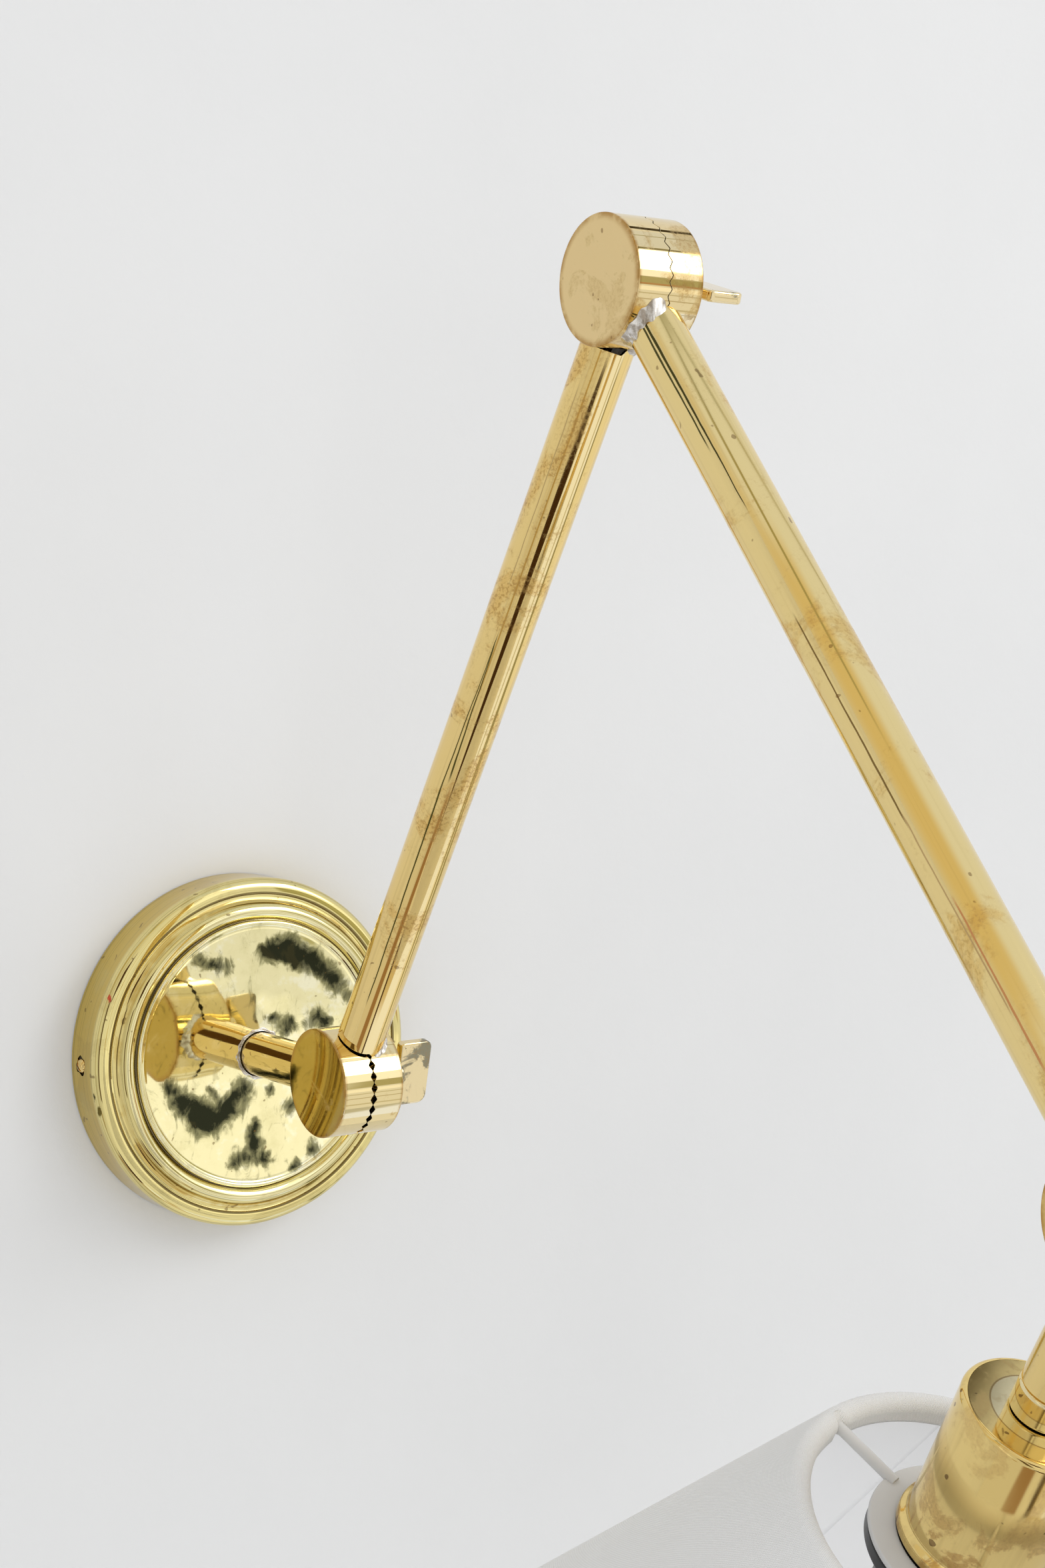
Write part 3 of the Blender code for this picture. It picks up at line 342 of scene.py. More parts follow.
TARNISH, POLISH, WEAVE = tarnish_group(), polish_group(), weave_group()


def material(name):
    made = bpy.data.materials.new(name)
    made.use_nodes = True
    w = Wiring(made.node_tree)
    return made, w, made.node_tree.nodes["Principled BSDF"]


def local(w, place):
    """Object coordinates turned into a place's own frame, in metres."""
    where = w.add("TexCoord").outputs["Object"]
    if place is None:
        return where
    rotation = Matrix(place.axes.tolist())
    shift = -(rotation @ Vector(place.origin))
    return w.add("Mapping", {"Vector": where, "Location": shift, "Rotation": rotation.to_euler()},
                 vector_type="POINT").outputs["Vector"]


def brass(name, place=None, tint=(0.82, 0.62, 0.26), aged=(0.68, 0.46, 0.15), patch=45.0, cover=0.5,
          patches=0.5, mottle=0.45, specks=0.6, rough=0.04, line_depth=0.35, wave=60.0, wave_depth=12.0,
          rim=0.0, streaks=0.0, face=None, painted_reflection_lines=()):
    """Polished brass whose lacquer has worn: tint, mottled brown patches, specks and wheel marks.

    line_depth and wave_depth are in thousandths of a millimetre. rim is how brown the turned
    corner of a knuckle is: the product of nearness to its outer radius and to its flat face.
    streaks darken fine lines along the place's Z axis. face is the colour painted on a knuckle's
    flat disc; on the wall knuckle it is a painted reflection, dark olive brown for the darker part
    of the room that face mirrors.
    The last argument paints thin dark and brown lines along a tube, a painted reflection of lines
    its polish shows: turn in degrees and distance in metres at both ends.
    """
    made, w, shader = material(name)
    where = local(w, place)
    spots = w.add("Group", {"Vector": where, "Patch Scale": patch, "Cover": cover}, node_tree=TARNISH)
    marks = w.add("Group", {"Vector": where, "Wave Scale": wave}, node_tree=POLISH)
    old = w.times(spots.outputs["Patches"], patches)
    fine = w.times(spots.outputs["Mottle"], mottle)
    colour = w.blend(old, (*tint, 1), (*aged, 1))
    colour = w.blend(fine, colour, (0.42, 0.23, 0.06, 1))
    if streaks:
        drawn = w.noise(w.stretch(where, (1.0, 1.0, 0.012)), 620.0, 2.0, 0.6)
        colour = w.blend(w.times(w.spread(drawn, 0.56, 0.66), streaks), colour, (0.50, 0.34, 0.12, 1))
    # painted reflection: lines at fixed turns round the tube, standing in for what its polish mirrors
    if painted_reflection_lines:
        parts = w.add("SeparateXYZ", {0: where}).outputs
        turn = w.math("DEGREES", w.math("ARCTAN2", parts["Y"], parts["X"]))
        turn = w.plus(turn, w.spread(w.noise(w.stretch(where, (1, 1, 0.3)), 300.0, 3.0), 0.2, 0.8, -0.9, 0.9))
        for *form, tone in painted_reflection_lines:
            colour = w.blend(w.post(turn, parts["Z"], *form, 0.004), colour, (*tone, 1))
    if rim:
        parts = w.add("SeparateXYZ", {0: where}).outputs
        flat = w.spread(w.math("ABSOLUTE", parts["Z"]), KNUCKLE_HALF - 0.35 * MM, KNUCKLE_HALF - 0.05 * MM)
        clean = w.math("SUBTRACT", 1.0, w.math("MAXIMUM", old, fine))
        colour = w.blend(w.times(flat, clean), colour, (*face, 1))
        off = w.from_axis(parts)
        near = w.times(w.spread(off, KNUCKLE - 2.6 * MM, KNUCKLE - 0.1 * MM),
                      w.spread(w.math("ABSOLUTE", parts["Z"]), KNUCKLE_HALF - 1.5 * MM,
                               KNUCKLE_HALF - 0.1 * MM))
        uneven = w.spread(w.noise(where, 160.0, 4.0, 0.65), 0.36, 0.58, 0.25, 1.0)
        colour = w.blend(w.times(w.times(near, uneven), rim), colour, (0.42, 0.22, 0.05, 1))
    colour = w.blend(w.times(spots.outputs["Specks"], specks), colour, (0.20, 0.10, 0.03, 1))
    w.feed(shader.inputs["Base Color"], colour)
    w.feed(shader.inputs["Metallic"], 1.0)
    dull = w.plus(w.times(old, 0.10), w.times(fine, 0.22))
    streak = w.spread(marks.outputs["Lines"], 0.35, 0.75, 0.0, 0.02)
    w.feed(shader.inputs["Roughness"], w.plus(w.plus(dull, streak), rough))
    normal = w.bump(marks.outputs["Waves"], wave_depth * 1e-6)
    normal = w.bump(marks.outputs["Lines"], line_depth * 1e-6, normal)
    w.feed(shader.inputs["Normal"], normal)
    return made


# ---------------------------------------------------------------- joining and cutting
def joined(name, *meshes):
    """One mesh from several closed ones."""
    form = bmesh.new()
    for mesh in meshes:
        form.from_mesh(mesh)
        bpy.data.meshes.remove(mesh)
    whole = bpy.data.meshes.new(name)
    form.to_mesh(whole)
    form.free()
    return whole


def cut(mesh, *cutters):
    """The mesh less the space of the closed cutters."""
    body = bpy.data.objects.new("blank", mesh)
    bpy.context.scene.collection.objects.link(body)
    tools = []
    for cutter in cutters:
        tools.append(bpy.data.objects.new("cutter", cutter))
        bpy.context.scene.collection.objects.link(tools[-1])
        step = body.modifiers.new("cut", "BOOLEAN")
        step.operation, step.solver, step.object = "DIFFERENCE", "EXACT", tools[-1]
    depsgraph = bpy.context.evaluated_depsgraph_get()
    result = bpy.data.meshes.new_from_object(body.evaluated_get(depsgraph))
    for spent in [body, *tools]:
        bpy.data.objects.remove(spent)
    result.name = mesh.name
    return result


# ---------------------------------------------------------------- knuckles
def serration(turn, seed):
    """Distance from tooth tip (0, straight up) to root (1): a triangle wave eased by a sine.

    Each tooth is cut a little deeper or shallower than the next.
    """
    pitch = turn * TEETH / TAU
    saw = 1 - np.abs((pitch % 1.0) * 2 - 1)
    eased = 0.55 * saw + 0.45 * (0.5 - 0.5 * np.cos(pitch * TAU))
    depth = np.random.default_rng(seed).uniform(0.86, 1.04, TEETH)
    return eased * depth[np.floor(pitch).astype(int) % TEETH]


def knuckle(name, pivot, side, body, finish, meshed, seed):
    """Half of a knuckle: a cup whose rim ends in V teeth that run in towards the axis.

    Rows are (radius, distance from the seam, share of the tooth wave). Where the halves are
    meshed, the wave swings across the seam plane by half a tooth each way; where they stand
    tip on tip, it only goes back from it.
    """
    turn = np.arange(TEETH * 12) * TAU / (TEETH * 12)
    wave = serration(turn, seed)
    if meshed:
        wave = (wave - 0.5) * side
    seam = HAIRLINE / 2 / MM
    edge, ease = 0.5, np.radians([0, 18, 36, 54, 72, 90])
    half, radius, bore, floor = 11.5, 18.5, 15.2, 9.1
    rim = [(radius - edge + edge * math.sin(a), half - edge + edge * math.cos(a), 0) for a in ease]
    front = [(5.0, half, 0), (12.0, half, 0), (radius - edge - 0.15, half, 0), *rim,
             (radius, half - edge - 0.15, 0), (radius, 6.0, 0), (radius, 2.2, 0),
             (radius, seam + 0.16, 1), (radius, seam + 0.07, 1), (radius - 0.07, seam, 1),
             (radius - 0.2, seam, 1), (bore, seam, 1), (bore, 3.0, 0), (bore, floor, 0)]
    if side < 0:
        rows = [(0.0, half, 0), *front, (5.4, floor, 0), (5.4, 1.9, 0), (5.3, 1.8, 0), (3.2, 1.8, 0),
                (3.2, floor - 0.3, 0), (0.0, floor - 0.3, 0)]
    else:
        rows = [(3.4, half, 0), *front, (3.4, floor, 0)]
    r, out, share = np.array(rows).T[:, :, None]
    depth = out * MM + share * wave * TOOTH * r / radius
    r = r * MM
    grid = np.stack([side * depth, r * np.sin(turn) + 0 * depth, r * np.cos(turn) + 0 * depth], -1)
    return show(name + "_cup", surface(name + "_cup", grid + pivot, along=side > 0), body, finish,
                [name], crease=26.0)


def wing_key(name, pivot, angle, finish):
    """Wing screw: a shank, a neck, and a paddle that is a rounded rectangle with eased edges.

    The paddle's rings step in from the outline along its normals by a quarter circle.
    """
    place = Place(pivot, (1, 0, 0), (0, math.sin(angle), -math.cos(angle)))
    low = (KNUCKLE_HALF + 0.3 * MM + KEY_NECK) / MM
    high, half = low + KEY_REACH / MM, KEY_SPAN / 2 / MM
    outline = rounded([(half, low), (half, high), (-half, high), (-half, low)], (1.6, 3.4, 2.6, 1.6), steps=9)
    ahead = np.roll(outline, -1, 0) - np.roll(outline, 1, 0)
    normal = np.stack([ahead[:, 1], -ahead[:, 0]], 1) / np.linalg.norm(ahead, axis=1)[:, None]
    ease, thick = 0.75 * MM, KEY_THICK / 2
    a = np.radians([0, 20, 40, 60, 78, 90])
    inset = np.concatenate([[2.0 * MM, ease + 0.2 * MM], ease * (1 - np.sin(a))])
    level = np.concatenate([[thick, thick], thick - ease * (1 - np.cos(a))])
    inset, level = np.concatenate([inset, inset[::-1]]), np.concatenate([level, -level[::-1]])
    ring = outline[None] - normal[None] * inset[:, None, None]
    centre = outline.mean(0)
    poles = np.broadcast_to(centre, ring[:1].shape)
    ring = np.concatenate([poles, ring, poles])
    level = np.concatenate([[thick], level, [-thick]])
    bow = 1 - 0.03 * ((ring[..., 0] / (half * MM)) ** 2)
    grid = np.stack([ring[..., 0], level[:, None] * bow, ring[..., 1]], -1)
    paddle = surface(name + "_paddle", place.world(grid))
    neck = rounded([(0, -8.4), (3.0, -8.4), (3.0, 11.8), (4.2, 11.8), (4.2, 13.4), (3.5, 14.4),
                    (3.5, low + 1.5),
                    (1.2, low + 2.4), (0, low + 2.4)], (0, 0.4, 0, 0.25, 0.4, 1.5, 0.6, 0.4, 0),
                   closed=False, steps=4)
    screw = surface(name + "_neck", revolve(neck, place, 64))
    return show(name + "_screw", joined(name, paddle, screw), name, finish, [name], crease=30.0)


# ---------------------------------------------------------------- tubes and solder
def cope(r, turn, side, seat, free, tail):
    """Height of a tube's end that is cut to a knuckle's cylinder, from the pivot.

    The root of the cylinder's squared radius less the squared distance across it. On the tube's
    own side the gap is seat; on the other it grows from tail at the outside to free at the seam.
    """
    across = side * np.cos(turn)
    other = tail + (free - tail) * (1 + np.minimum(across, 0))
    gap = other + (seat - other) * smooth_step(0.5 + across * 4)
    return np.sqrt((KNUCKLE + gap * MM) ** 2 - (r * np.sin(turn)) ** 2)


def tube(name, place, near, far, body, finish, node, steps=128):
    """Drawn tube: circles of the outer and inner radius between two ends.

    An end is a height in metres, or for a coped end (height of its pivot, side, seat, free, tail).
    """
    turn = np.arange(steps) * TAU / steps

    def end(spec, r, inward, sign):
        if isinstance(spec, tuple):
            pivot, side, seat, free, tail = spec
            return pivot + sign * (cope(r, turn, side, seat, free, tail) + inward)
        return spec + sign * inward + 0 * turn

    bare, ease = 0.16 * MM, 0.10 * MM
    stations = [(TUBE - ease, 0.0), (TUBE - 0.03 * MM, 0.04 * MM), (TUBE, ease), (TUBE, ease + bare)]
    heights, radii = [], []
    for r, inward in stations:
        heights.append(end(near, r, inward, 1)), radii.append(r)
    middle = (heights[-1].max() + end(far, TUBE, ease, -1).min()) / 2
    heights.append(middle + 0 * turn), radii.append(TUBE)
    for r, inward in stations[::-1]:
        heights.append(end(far, r, inward, -1)), radii.append(r)
    for spec, sign in ((far, -1), (near, 1)):
        heights.append(end(spec, TUBE_BORE, 0.0, sign)), radii.append(TUBE_BORE)
    r, h = np.array(radii)[:, None], np.array(heights)
    grid = np.stack([r * np.cos(turn), r * np.sin(turn), h], -1)
    mesh = surface(name, place.world(grid), along=True)
    return show(name, mesh, body, finish, [node], crease=30.0)


def solder(name, place, side, body, node, finish, width, rise, peak, swell, seed, reach=85.0):
    """Fillet of solder in the corner between a tube's foot and its own knuckle half.

    Across it the section is a quarter ellipse between the tube and the knuckle, width out and
    rise up, in millimetres. It swells by a bell curve round peak (-1 to 1 along the foot), is
    roughened by sine waves, and runs out to nothing at both ends, reach degrees either way.
    """
    s = np.linspace(-1, 1, 121)[None, :]
    v = np.linspace(0, 1, 17)[:, None]
    turn = (0 if side > 0 else math.pi) + s * side * math.radians(reach)
    lumps = ripple(turn, 3 * v, seed, 16, (3, 22), (0.4, 1.6))
    taper = (1 - s ** 2) ** 0.4
    body_size = taper * (1 + swell * np.exp(-((s - peak) / 0.30) ** 2) + 0.15 * lumps)
    quarter = v * math.pi / 2
    bulge = 0.42 + 0.20 * np.sin(5 * turn + seed)
    out = bulge * np.sin(quarter) + (1 - bulge) * (1 - np.cos(quarter))
    up = bulge * np.cos(quarter) + (1 - bulge) * (1 - np.sin(quarter))
    pits = 0.045 * MM * ripple(turn, 16 * v, seed + 1, 16, (12, 60), (0.3, 1.4)) * taper * np.sin(math.pi * v)
    out = TUBE + width * MM * body_size * out + pits
    up = rise * MM * body_size * up + pits
    under = 0.6 * MM * taper
    out = np.concatenate([TUBE - under, out, out[-1:], TUBE - under])
    up = np.concatenate([up[:1] - under, up, up[-1:] - under, 0 * up[:1] - under])
    x, y = out * np.cos(turn), out * np.sin(turn)
    grid = np.stack([x, y, np.sqrt(KNUCKLE ** 2 - y ** 2) + up], -1)
    mesh = surface(name, place.world(grid), around=False, along=True)
    return show(name, mesh, body, finish, [node], crease=60.0)


def solder_ring(name, finish):
    """Bead of solder round the stub where it leaves the canopy, with a ragged thin skirt."""
    turn = np.arange(200) * TAU / 200
    ragged = 9.25 + 0.40 * ripple(turn[None], np.zeros((1, 1)), 5, 12, (3, 17))[0]
    bead = 8.6 + 0.10 * ripple(turn[None], np.zeros((1, 1)), 9, 10, (2, 8))[0]
    disc = DISC_RISE / MM
    v = np.linspace(0, 1, 9)[:, None]
    arc_r = 8.3 + (bead - 8.3) * np.sin(v * math.pi / 2)
    arc_h = disc + 0.10 + 0.5 * np.cos(v * math.pi / 2) + 0 * turn
    skirt_r = np.stack([bead + 0.3 * (ragged - bead), ragged - 0.1, ragged])
    skirt_h = np.stack([disc + 0.13 + 0 * turn, disc + 0.09 + 0 * turn, disc - 0.1 + 0 * turn])
    r = np.concatenate([0 * turn[None] + 8.26, arc_r, skirt_r, 0 * turn[None] + 8.26])
    h = np.concatenate([0 * turn[None] + disc + 0.5, arc_h, skirt_h, 0 * turn[None] + disc - 0.1])
    grid = np.stack([r * np.cos(turn), r * np.sin(turn), h], -1) * MM
    mesh = surface(name, ON_WALL.world(grid), along=True)
    return show(name, mesh, "wall", finish, ["stub_canopy_solder"], crease=60.0)


# ---------------------------------------------------------------- canopy
def arc_points(centre, radius, start, end, count):
    a = np.radians(np.linspace(start, end, count))
    return [(centre[0] + radius * math.cos(t), centre[1] + radius * math.sin(t)) for t in a]


def dents(x, y, seed, length, waves=24):
    """Hammered unevenness of a sheet, about -1 to 1: plane sine waves in all directions."""
    draw = np.random.default_rng(seed)
    aim, start = draw.uniform(0, TAU, waves), draw.uniform(0, TAU, waves)
    k = TAU / (length * draw.uniform(0.6, 1.7, waves))
    phase = [ki * (x * math.cos(a) + y * math.sin(a)) + s for ki, a, s in zip(k, aim, start)]
    return np.sin(np.array(phase)).sum(0) / math.sqrt(waves)


def round_screw(name, place, reach, shank, finish, node, wide=1.0, sunk=0.0):
    """Round-head screw: a flattened dome over a shank, with a slot sawn across it."""
    head = [(0, 2.3), *arc_points((0, 0.3), 3.2, 82, 8, 10), (3.2, 0.3)]
    head = [(r * wide, sunk + 0.3 + (h - 0.3) * 0.625) for r, h in head]
    profile = np.array([*head, (3.2 * wide, sunk + 0.1), (1.75, sunk + 0.1), (1.75, -shank),
                        (0, -shank)]) * MM
    mesh = surface(name, revolve(profile, place, 48))
    slot = np.array([(-4, -0.4), (4, -0.4), (4, 0.4), (-4, 0.4)])
    corners = np.array([[(x, y, h) for x, y in slot] for h in (sunk + 1.5, 5.0)]) * MM
    ends = np.stack([np.broadcast_to(corners[k].mean(0), (4, 3)) for k in (0, 1)])
    saw = surface(name + "_saw", place.world(np.stack([ends[0], corners[0], corners[1], ends[1]])))
    return show(name + "_" + reach, cut(mesh, saw), "wall", finish, [node], crease=30.0)


def canopy(finish):
    """Spun rose: side wall, shoulder, step, cove, bead, groove, lip and flat disc.

    The turned profile is made of arcs. The disc is dented by plane waves and the rings run a
    little out of true. The two screw holes are cut through the side, the left one torn.
    """
    front = [(63.5, 0.02), (63.45, 2.0), (63.3, 7.0), (63.42, 12.0), (63.5, 15.2),
             *arc_points((59.8, 15.4), 3.7, 0, 84, 12), (58.4, 19.1), (57.9, 19.05), (57.75, 18.75),
             (57.6, 18.62), *arc_points((57.2, 21.6), 3.0, 266, 216, 9),
             *arc_points((51.925, 18.9), 3.1, 38, 146, 18), (49.1, 20.45), (48.9, 20.3), (48.6, 20.45),
             *arc_points((47.586, 21.1), 0.9, 8, 148, 9), (46.3, 21.28), (45.9, 21.2)]
    disc = [(r, 21.2) for r in np.linspace(45.0, 8.6, 56)] + [(8.24, 21.1), (8.24, 20.3)]
    back = [(9.0, 20.3), (46.0, 20.3), (48.6, 19.5), (52.0, 20.3), (56.7, 17.7), (58.3, 17.7),
            (60.9, 17.0), (62.6, 13.9), (62.6, 0.02)]
    profile = np.array([*front, *disc, *back])
    turn = np.arange(288) * TAU / 288
    r, h = profile[:, 0, None] + 0 * turn, profile[:, 1, None] + 0 * turn
    x, y = r * np.cos(turn), r * np.sin(turn)
    on_disc = smooth_step((46.5 - r) / 3) * smooth_step((r - 9) / 3) * (h > 20.9)
    h = h + on_disc * (0.018 * dents(x, y, 11, 26.0) + 0.003 * dents(x, y, 12, 8.0))
    outer = smooth_step((r - 46) / 3) * (np.arange(len(profile))[:, None] < len(front) + 1) * (h > 1)
    h = h + outer * 0.05 * ripple(turn[None], np.zeros((1, 1)), 21, 10, (3, 16))
    rise = smooth_step((h - 1) / 4) * outer
    r = r + rise * 0.06 * np.minimum(ripple(turn[None], h / 6, 22, 12, (2, 14), (0.4, 1.2)) - 1.2, 0)
    x, y = r * np.cos(turn), r * np.sin(turn)
    mesh = surface("rose", ON_WALL.world(np.stack([x, y, h], -1) * MM), along=True)
    holes = []
    for side, size, torn in ((-1, 3.35, 0.16), (1, 2.1, 0.05)):
        a = np.arange(60) * TAU / 60
        frayed = ripple(a[None], np.zeros((1, 1)), 31, 12, (3, 14))[0]
        edge = size * (1 + 0.10 * np.cos(4 * a + 0.5)) + torn * frayed
        ring = np.stack([edge * np.cos(a), edge * np.sin(a)], -1)
        rows = np.array([[(*p, level) for p in ring * wide] for level,
                         wide in ((58, 0), (58, 1), (68, 1), (68, 0))])
        holes.append(surface("hole", SCREW_PLACES[side].world(rows * MM - [0, 0, CANOPY])))
    return show("spun_rose", cut(mesh, *holes), "wall", finish, ["canopy"], crease=40.0)


SCREW_PLACES = {side: Place((side * CANOPY, -7 * MM, 0), (side, 0, 0), (0, 0.5, 0.86)) for side in (-1, 1)}


# ---------------------------------------------------------------- lampholder and fitter
def holder_cap(finish):
    """Turned brass cup: eased top edge, slight waist and a rounded foot band."""
    corners = [(5.3, 58.8), (19.4, 58.8), (18.85, 90.0), (18.7, 98.0), (20.4, 99.4), (20.4, 102.0),
               (17.5, 102.0), (17.5, 60.0), (5.3, 60.0)]
    return turned("holder_cap", corners, (0.2, 1.5, 0, 1.4, 1.1, 0.9, 0.2, 0.8, 0), HEAD, "head", finish,
                  ["lampholder_cap"], steps=192, arc=9)


def screw_shell(finish):
    """Bulb thread: radius is a mean plus a cosine of turn and depth, one ridge every 3.63 mm."""
    turn = np.arange(96) * TAU / 96
    h = np.linspace(88.2, 118.8, 96)[:, None]
    swell = 0.42 * np.cos(TAU * h / 3.63 - turn) * smooth_step((h - 88.2) / 2) * smooth_step((118.8 - h) / 2)
    skin = 13.42 + swell
    r = np.concatenate([skin, (skin - 0.42)[::-1], 0 * turn[None] + 4.6, 0 * turn[None] + 4.6])
    h = h + 0 * turn
    h = np.concatenate([h, h[::-1], 0 * turn[None] + 87.9, 0 * turn[None] + 87.4])
    grid = np.stack([r * np.cos(turn), r * np.sin(turn), h], -1) * MM
    return show("bulb_thread", surface("bulb_thread", HEAD.world(grid), along=True), "head", finish,
                ["screw_shell"], crease=60.0)


def cone_radius(h):
    """Outer face of the shade at a depth along the head's axis, in metres."""
    return WIRE_RING + HEM * math.hypot(1, SHADE_SLOPE) + SHADE_SLOPE * (h - SHADE_TOP - HEM)


def rod(start, end, radius, steps=20):
    """Straight wire: circles round the line between two points, closed by its end points."""
    place = Place(start, np.subtract(end, start), (0.3, 0.5, 0.2))
    long = float(np.linalg.norm(np.subtract(end, start)))
    profile = np.array([(0, 0), (radius, 0), (radius, long), (0, long)])
    return surface("rod", revolve(profile, place, steps))


def hoop(radius, height, wire, steps=160, around=14):
    """Wire ring: a small circle carried round the head's axis."""
    a = np.arange(around) * TAU / around
    profile = np.stack([radius + wire * np.cos(a), height + wire * np.sin(a)], -1)
    return surface("hoop", revolve(profile, HEAD, steps), along=True)


def shade_fitter(finish):
    """White steel fitter: eased flat plate, three arms up to the wire in the rolled hem."""
    plate = rounded([(19.7, 102.6), (26.8, 102.6), (26.8, 104.1), (19.7, 104.1)], (0.4, 0.5, 0.5, 0.3))
    meshes = [surface("plate", revolve(plate, HEAD, 192), along=True)]
    for number in range(3):
        a = FITTER_TURN + number * TAU / 3
        ray = np.array([math.cos(a), math.sin(a), 0])
        inner = HEAD.world(ray * 24.4 * MM + [0, 0, 102.75 * MM])
        outer = HEAD.world(ray * WIRE_RING + [0, 0, SHADE_TOP + HEM])
        meshes.append(rod(inner, outer, 1.5 * MM, 24))
    meshes.append(hoop(WIRE_RING, SHADE_TOP + HEM, 1.5 * MM))
    return show("fitter", joined("fitter", *meshes), "head", finish, ["shade_fitter"])


# ---------------------------------------------------------------- shade
def shade_profile():
    """Half section of the cover: from its tuck inside, over the top wire, down the cone, round
    the bottom wire and up to its tuck. Returns (radius, height) and the cloth's own length."""
    lean = math.degrees(math.atan(SHADE_SLOPE))
    top = (WIRE_RING / MM, (SHADE_TOP + HEM) / MM)
    low_h = (SHADE_TOP + SHADE_HEIGHT - HEM) / MM
    low = (cone_radius(low_h * MM) / MM - 3.0 * math.hypot(1, SHADE_SLOPE), low_h)
    roll = arc_points(top, 3.0, -184, -lean, 22)
    foot = arc_points(low, 3.0, -lean, 176, 22)
    tuck = [(roll[0][0] + 0.25 - 0.02 * k, roll[0][1] + 3.4 - 0.85 * k) for k in range(4)]
    end = [(foot[-1][0] + 0.05 * k, foot[-1][1] - 0.9 * k) for k in range(1, 5)]
    a, b = np.array(roll[-1]), np.array(foot[0])
    t = np.linspace(0, 1, 74)[1:-1, None]
    points = np.array([*tuck, *roll, *(a + (b - a) * t), *foot, *end])
    return points, np.concatenate([[0], np.cumsum(np.linalg.norm(np.diff(points, axis=0), axis=1))])


def shade_cover(finish):
    """Cloth cover in one sheet: the half section turned round the head's axis.

    It swells out and in by a few hundredths along the cone, puckers over the top wire by sine
    waves, dips where the arms of the fitter enter the roll, and is 0.45 mm thick.
    """
    points, run = shade_profile()
    steps = 360
    turn = np.arange(steps) * TAU / steps
    r, h = points[:, 0, None] + 0 * turn, points[:, 1, None] + 0 * turn
    depth = (h - SHADE_TOP / MM) / (SHADE_HEIGHT / MM)
    on_cone = smooth_step(depth / 0.1) * smooth_step((1 - depth) / 0.1)
    r = r + on_cone * 0.22 * ripple(turn[None], depth * 3, 41, 12, (2, 9), (0.5, 1.5))
    on_roll = smooth_step((0.05 - depth) / 0.04)
    pucker = ripple(turn[None], 2 * depth, 42, 16, (12, 60), (1, 9))
    r = r - on_roll * 0.05 * np.abs(pucker)
    h = h + on_roll * 0.05 * np.abs(pucker)
    for number in range(3):
        off = (turn - FITTER_TURN - number * TAU / 3 + math.pi) % TAU - math.pi
        slit = np.exp(-(off * 45.6 / 1.5) ** 4)
        inside = smooth_step((46.4 - points[:, 0, None]) / 2.2) * (depth < 0.1)
        r = r + 1.5 * slit * inside
    grid = HEAD.world(np.stack([r * np.cos(turn), r * np.sin(turn), h], -1) * MM)
    across = np.append(turn, TAU) * 87.0 * MM
    mesh = surface("cover", grid, uv=(across, run * MM))
    piece = show("shade_cover", mesh, "head", finish,
                 ["shade_cloth", "shade_top_hem", "shade_bottom_hem"], crease=50.0)
    thick = piece.modifiers.new("thickness", "SOLIDIFY")
    thick.thickness = 0.45 * MM
    thick.offset = -1.0
    return piece


def shade_lining(finish):
    """Smooth white lining on the inside of the cover, its ends lapped along one straight line.

    The cone's inner face is turned a little more than once; the lap stands 0.35 mm proud.
    """
    steps, lap = 300, math.radians(3.0)
    turn = LINING_SEAM + np.linspace(0, TAU + lap, steps)
    h = np.linspace(SHADE_TOP / MM + 5.6, (SHADE_TOP + SHADE_HEIGHT) / MM - 6.2, 40)[:, None]
    over = smooth_step((turn - LINING_SEAM - TAU + 2 * lap) / lap)
    r = (cone_radius(SHADE_TOP) - SHADE_SLOPE * SHADE_TOP) / MM + SHADE_SLOPE * h - 0.95 - 0.4 * over
    grid = HEAD.world(np.stack([r * np.cos(turn), r * np.sin(turn), h + 0 * turn], -1) * MM)
    piece = show("shade_lining", surface("lining", grid, around=False), "head", finish)
    thick = piece.modifiers.new("thickness", "SOLIDIFY")
    thick.thickness = 0.3 * MM
    thick.offset = -1.0
    return piece


LINING_SEAM = math.radians(303.0)


# ---------------------------------------------------------------- finishes
# Grey-green places on the canopy's disc, from its centre: right, up and radius in millimetres.
LIFTED = ((3, 36, 7), (8, 38, 8.5), (13, 37, 9), (18, 34, 8), (23, 31, 8), (28, 27, 8), (33, 22.5, 7),
          (38, 17, 5),
          (14, 32, 5), (-24, 35, 6), (-19, 33.5, 4), (-14, 33, 6), (24, 11, 7.5), (28, 8, 4.5), (11, 9, 7),
          (5, 13, 4),
          (-36, -8, 5), (-32, -13, 8), (-27, -18, 9), (-24, -23, 9), (-18, -21, 11), (-12, -17, 9),
          (-7, -12, 7),
          (-20, -11, 4), (-2, -25, 5), (-3, -30, 6), (-3, -35, 7), (-9, -38, 6), (2, -39, 5), (13, -21, 6),
          (22, -37, 6), (4, -14, 4), (14, -43, 4))


# Blemishes left of the disc: place in millimetres, radius, how many times taller than wide, colour.
SPECKS_ON_SHOULDER = (((-61.2, -14.8, 17.2), 0.8, 3.0, (0.16, 0.12, 0.03)),
                      ((-62.6, -9.0, 16.2), 0.35, 9.0, (0.06, 0.05, 0.015)),
                      ((-57.4, 25.0, 18.0), 0.7, 2.4, (0.55, 0.10, 0.05)),
                      ((-60.3, -28.0, 12.0), 1.6, 1.8, (0.45, 0.25, 0.10)))


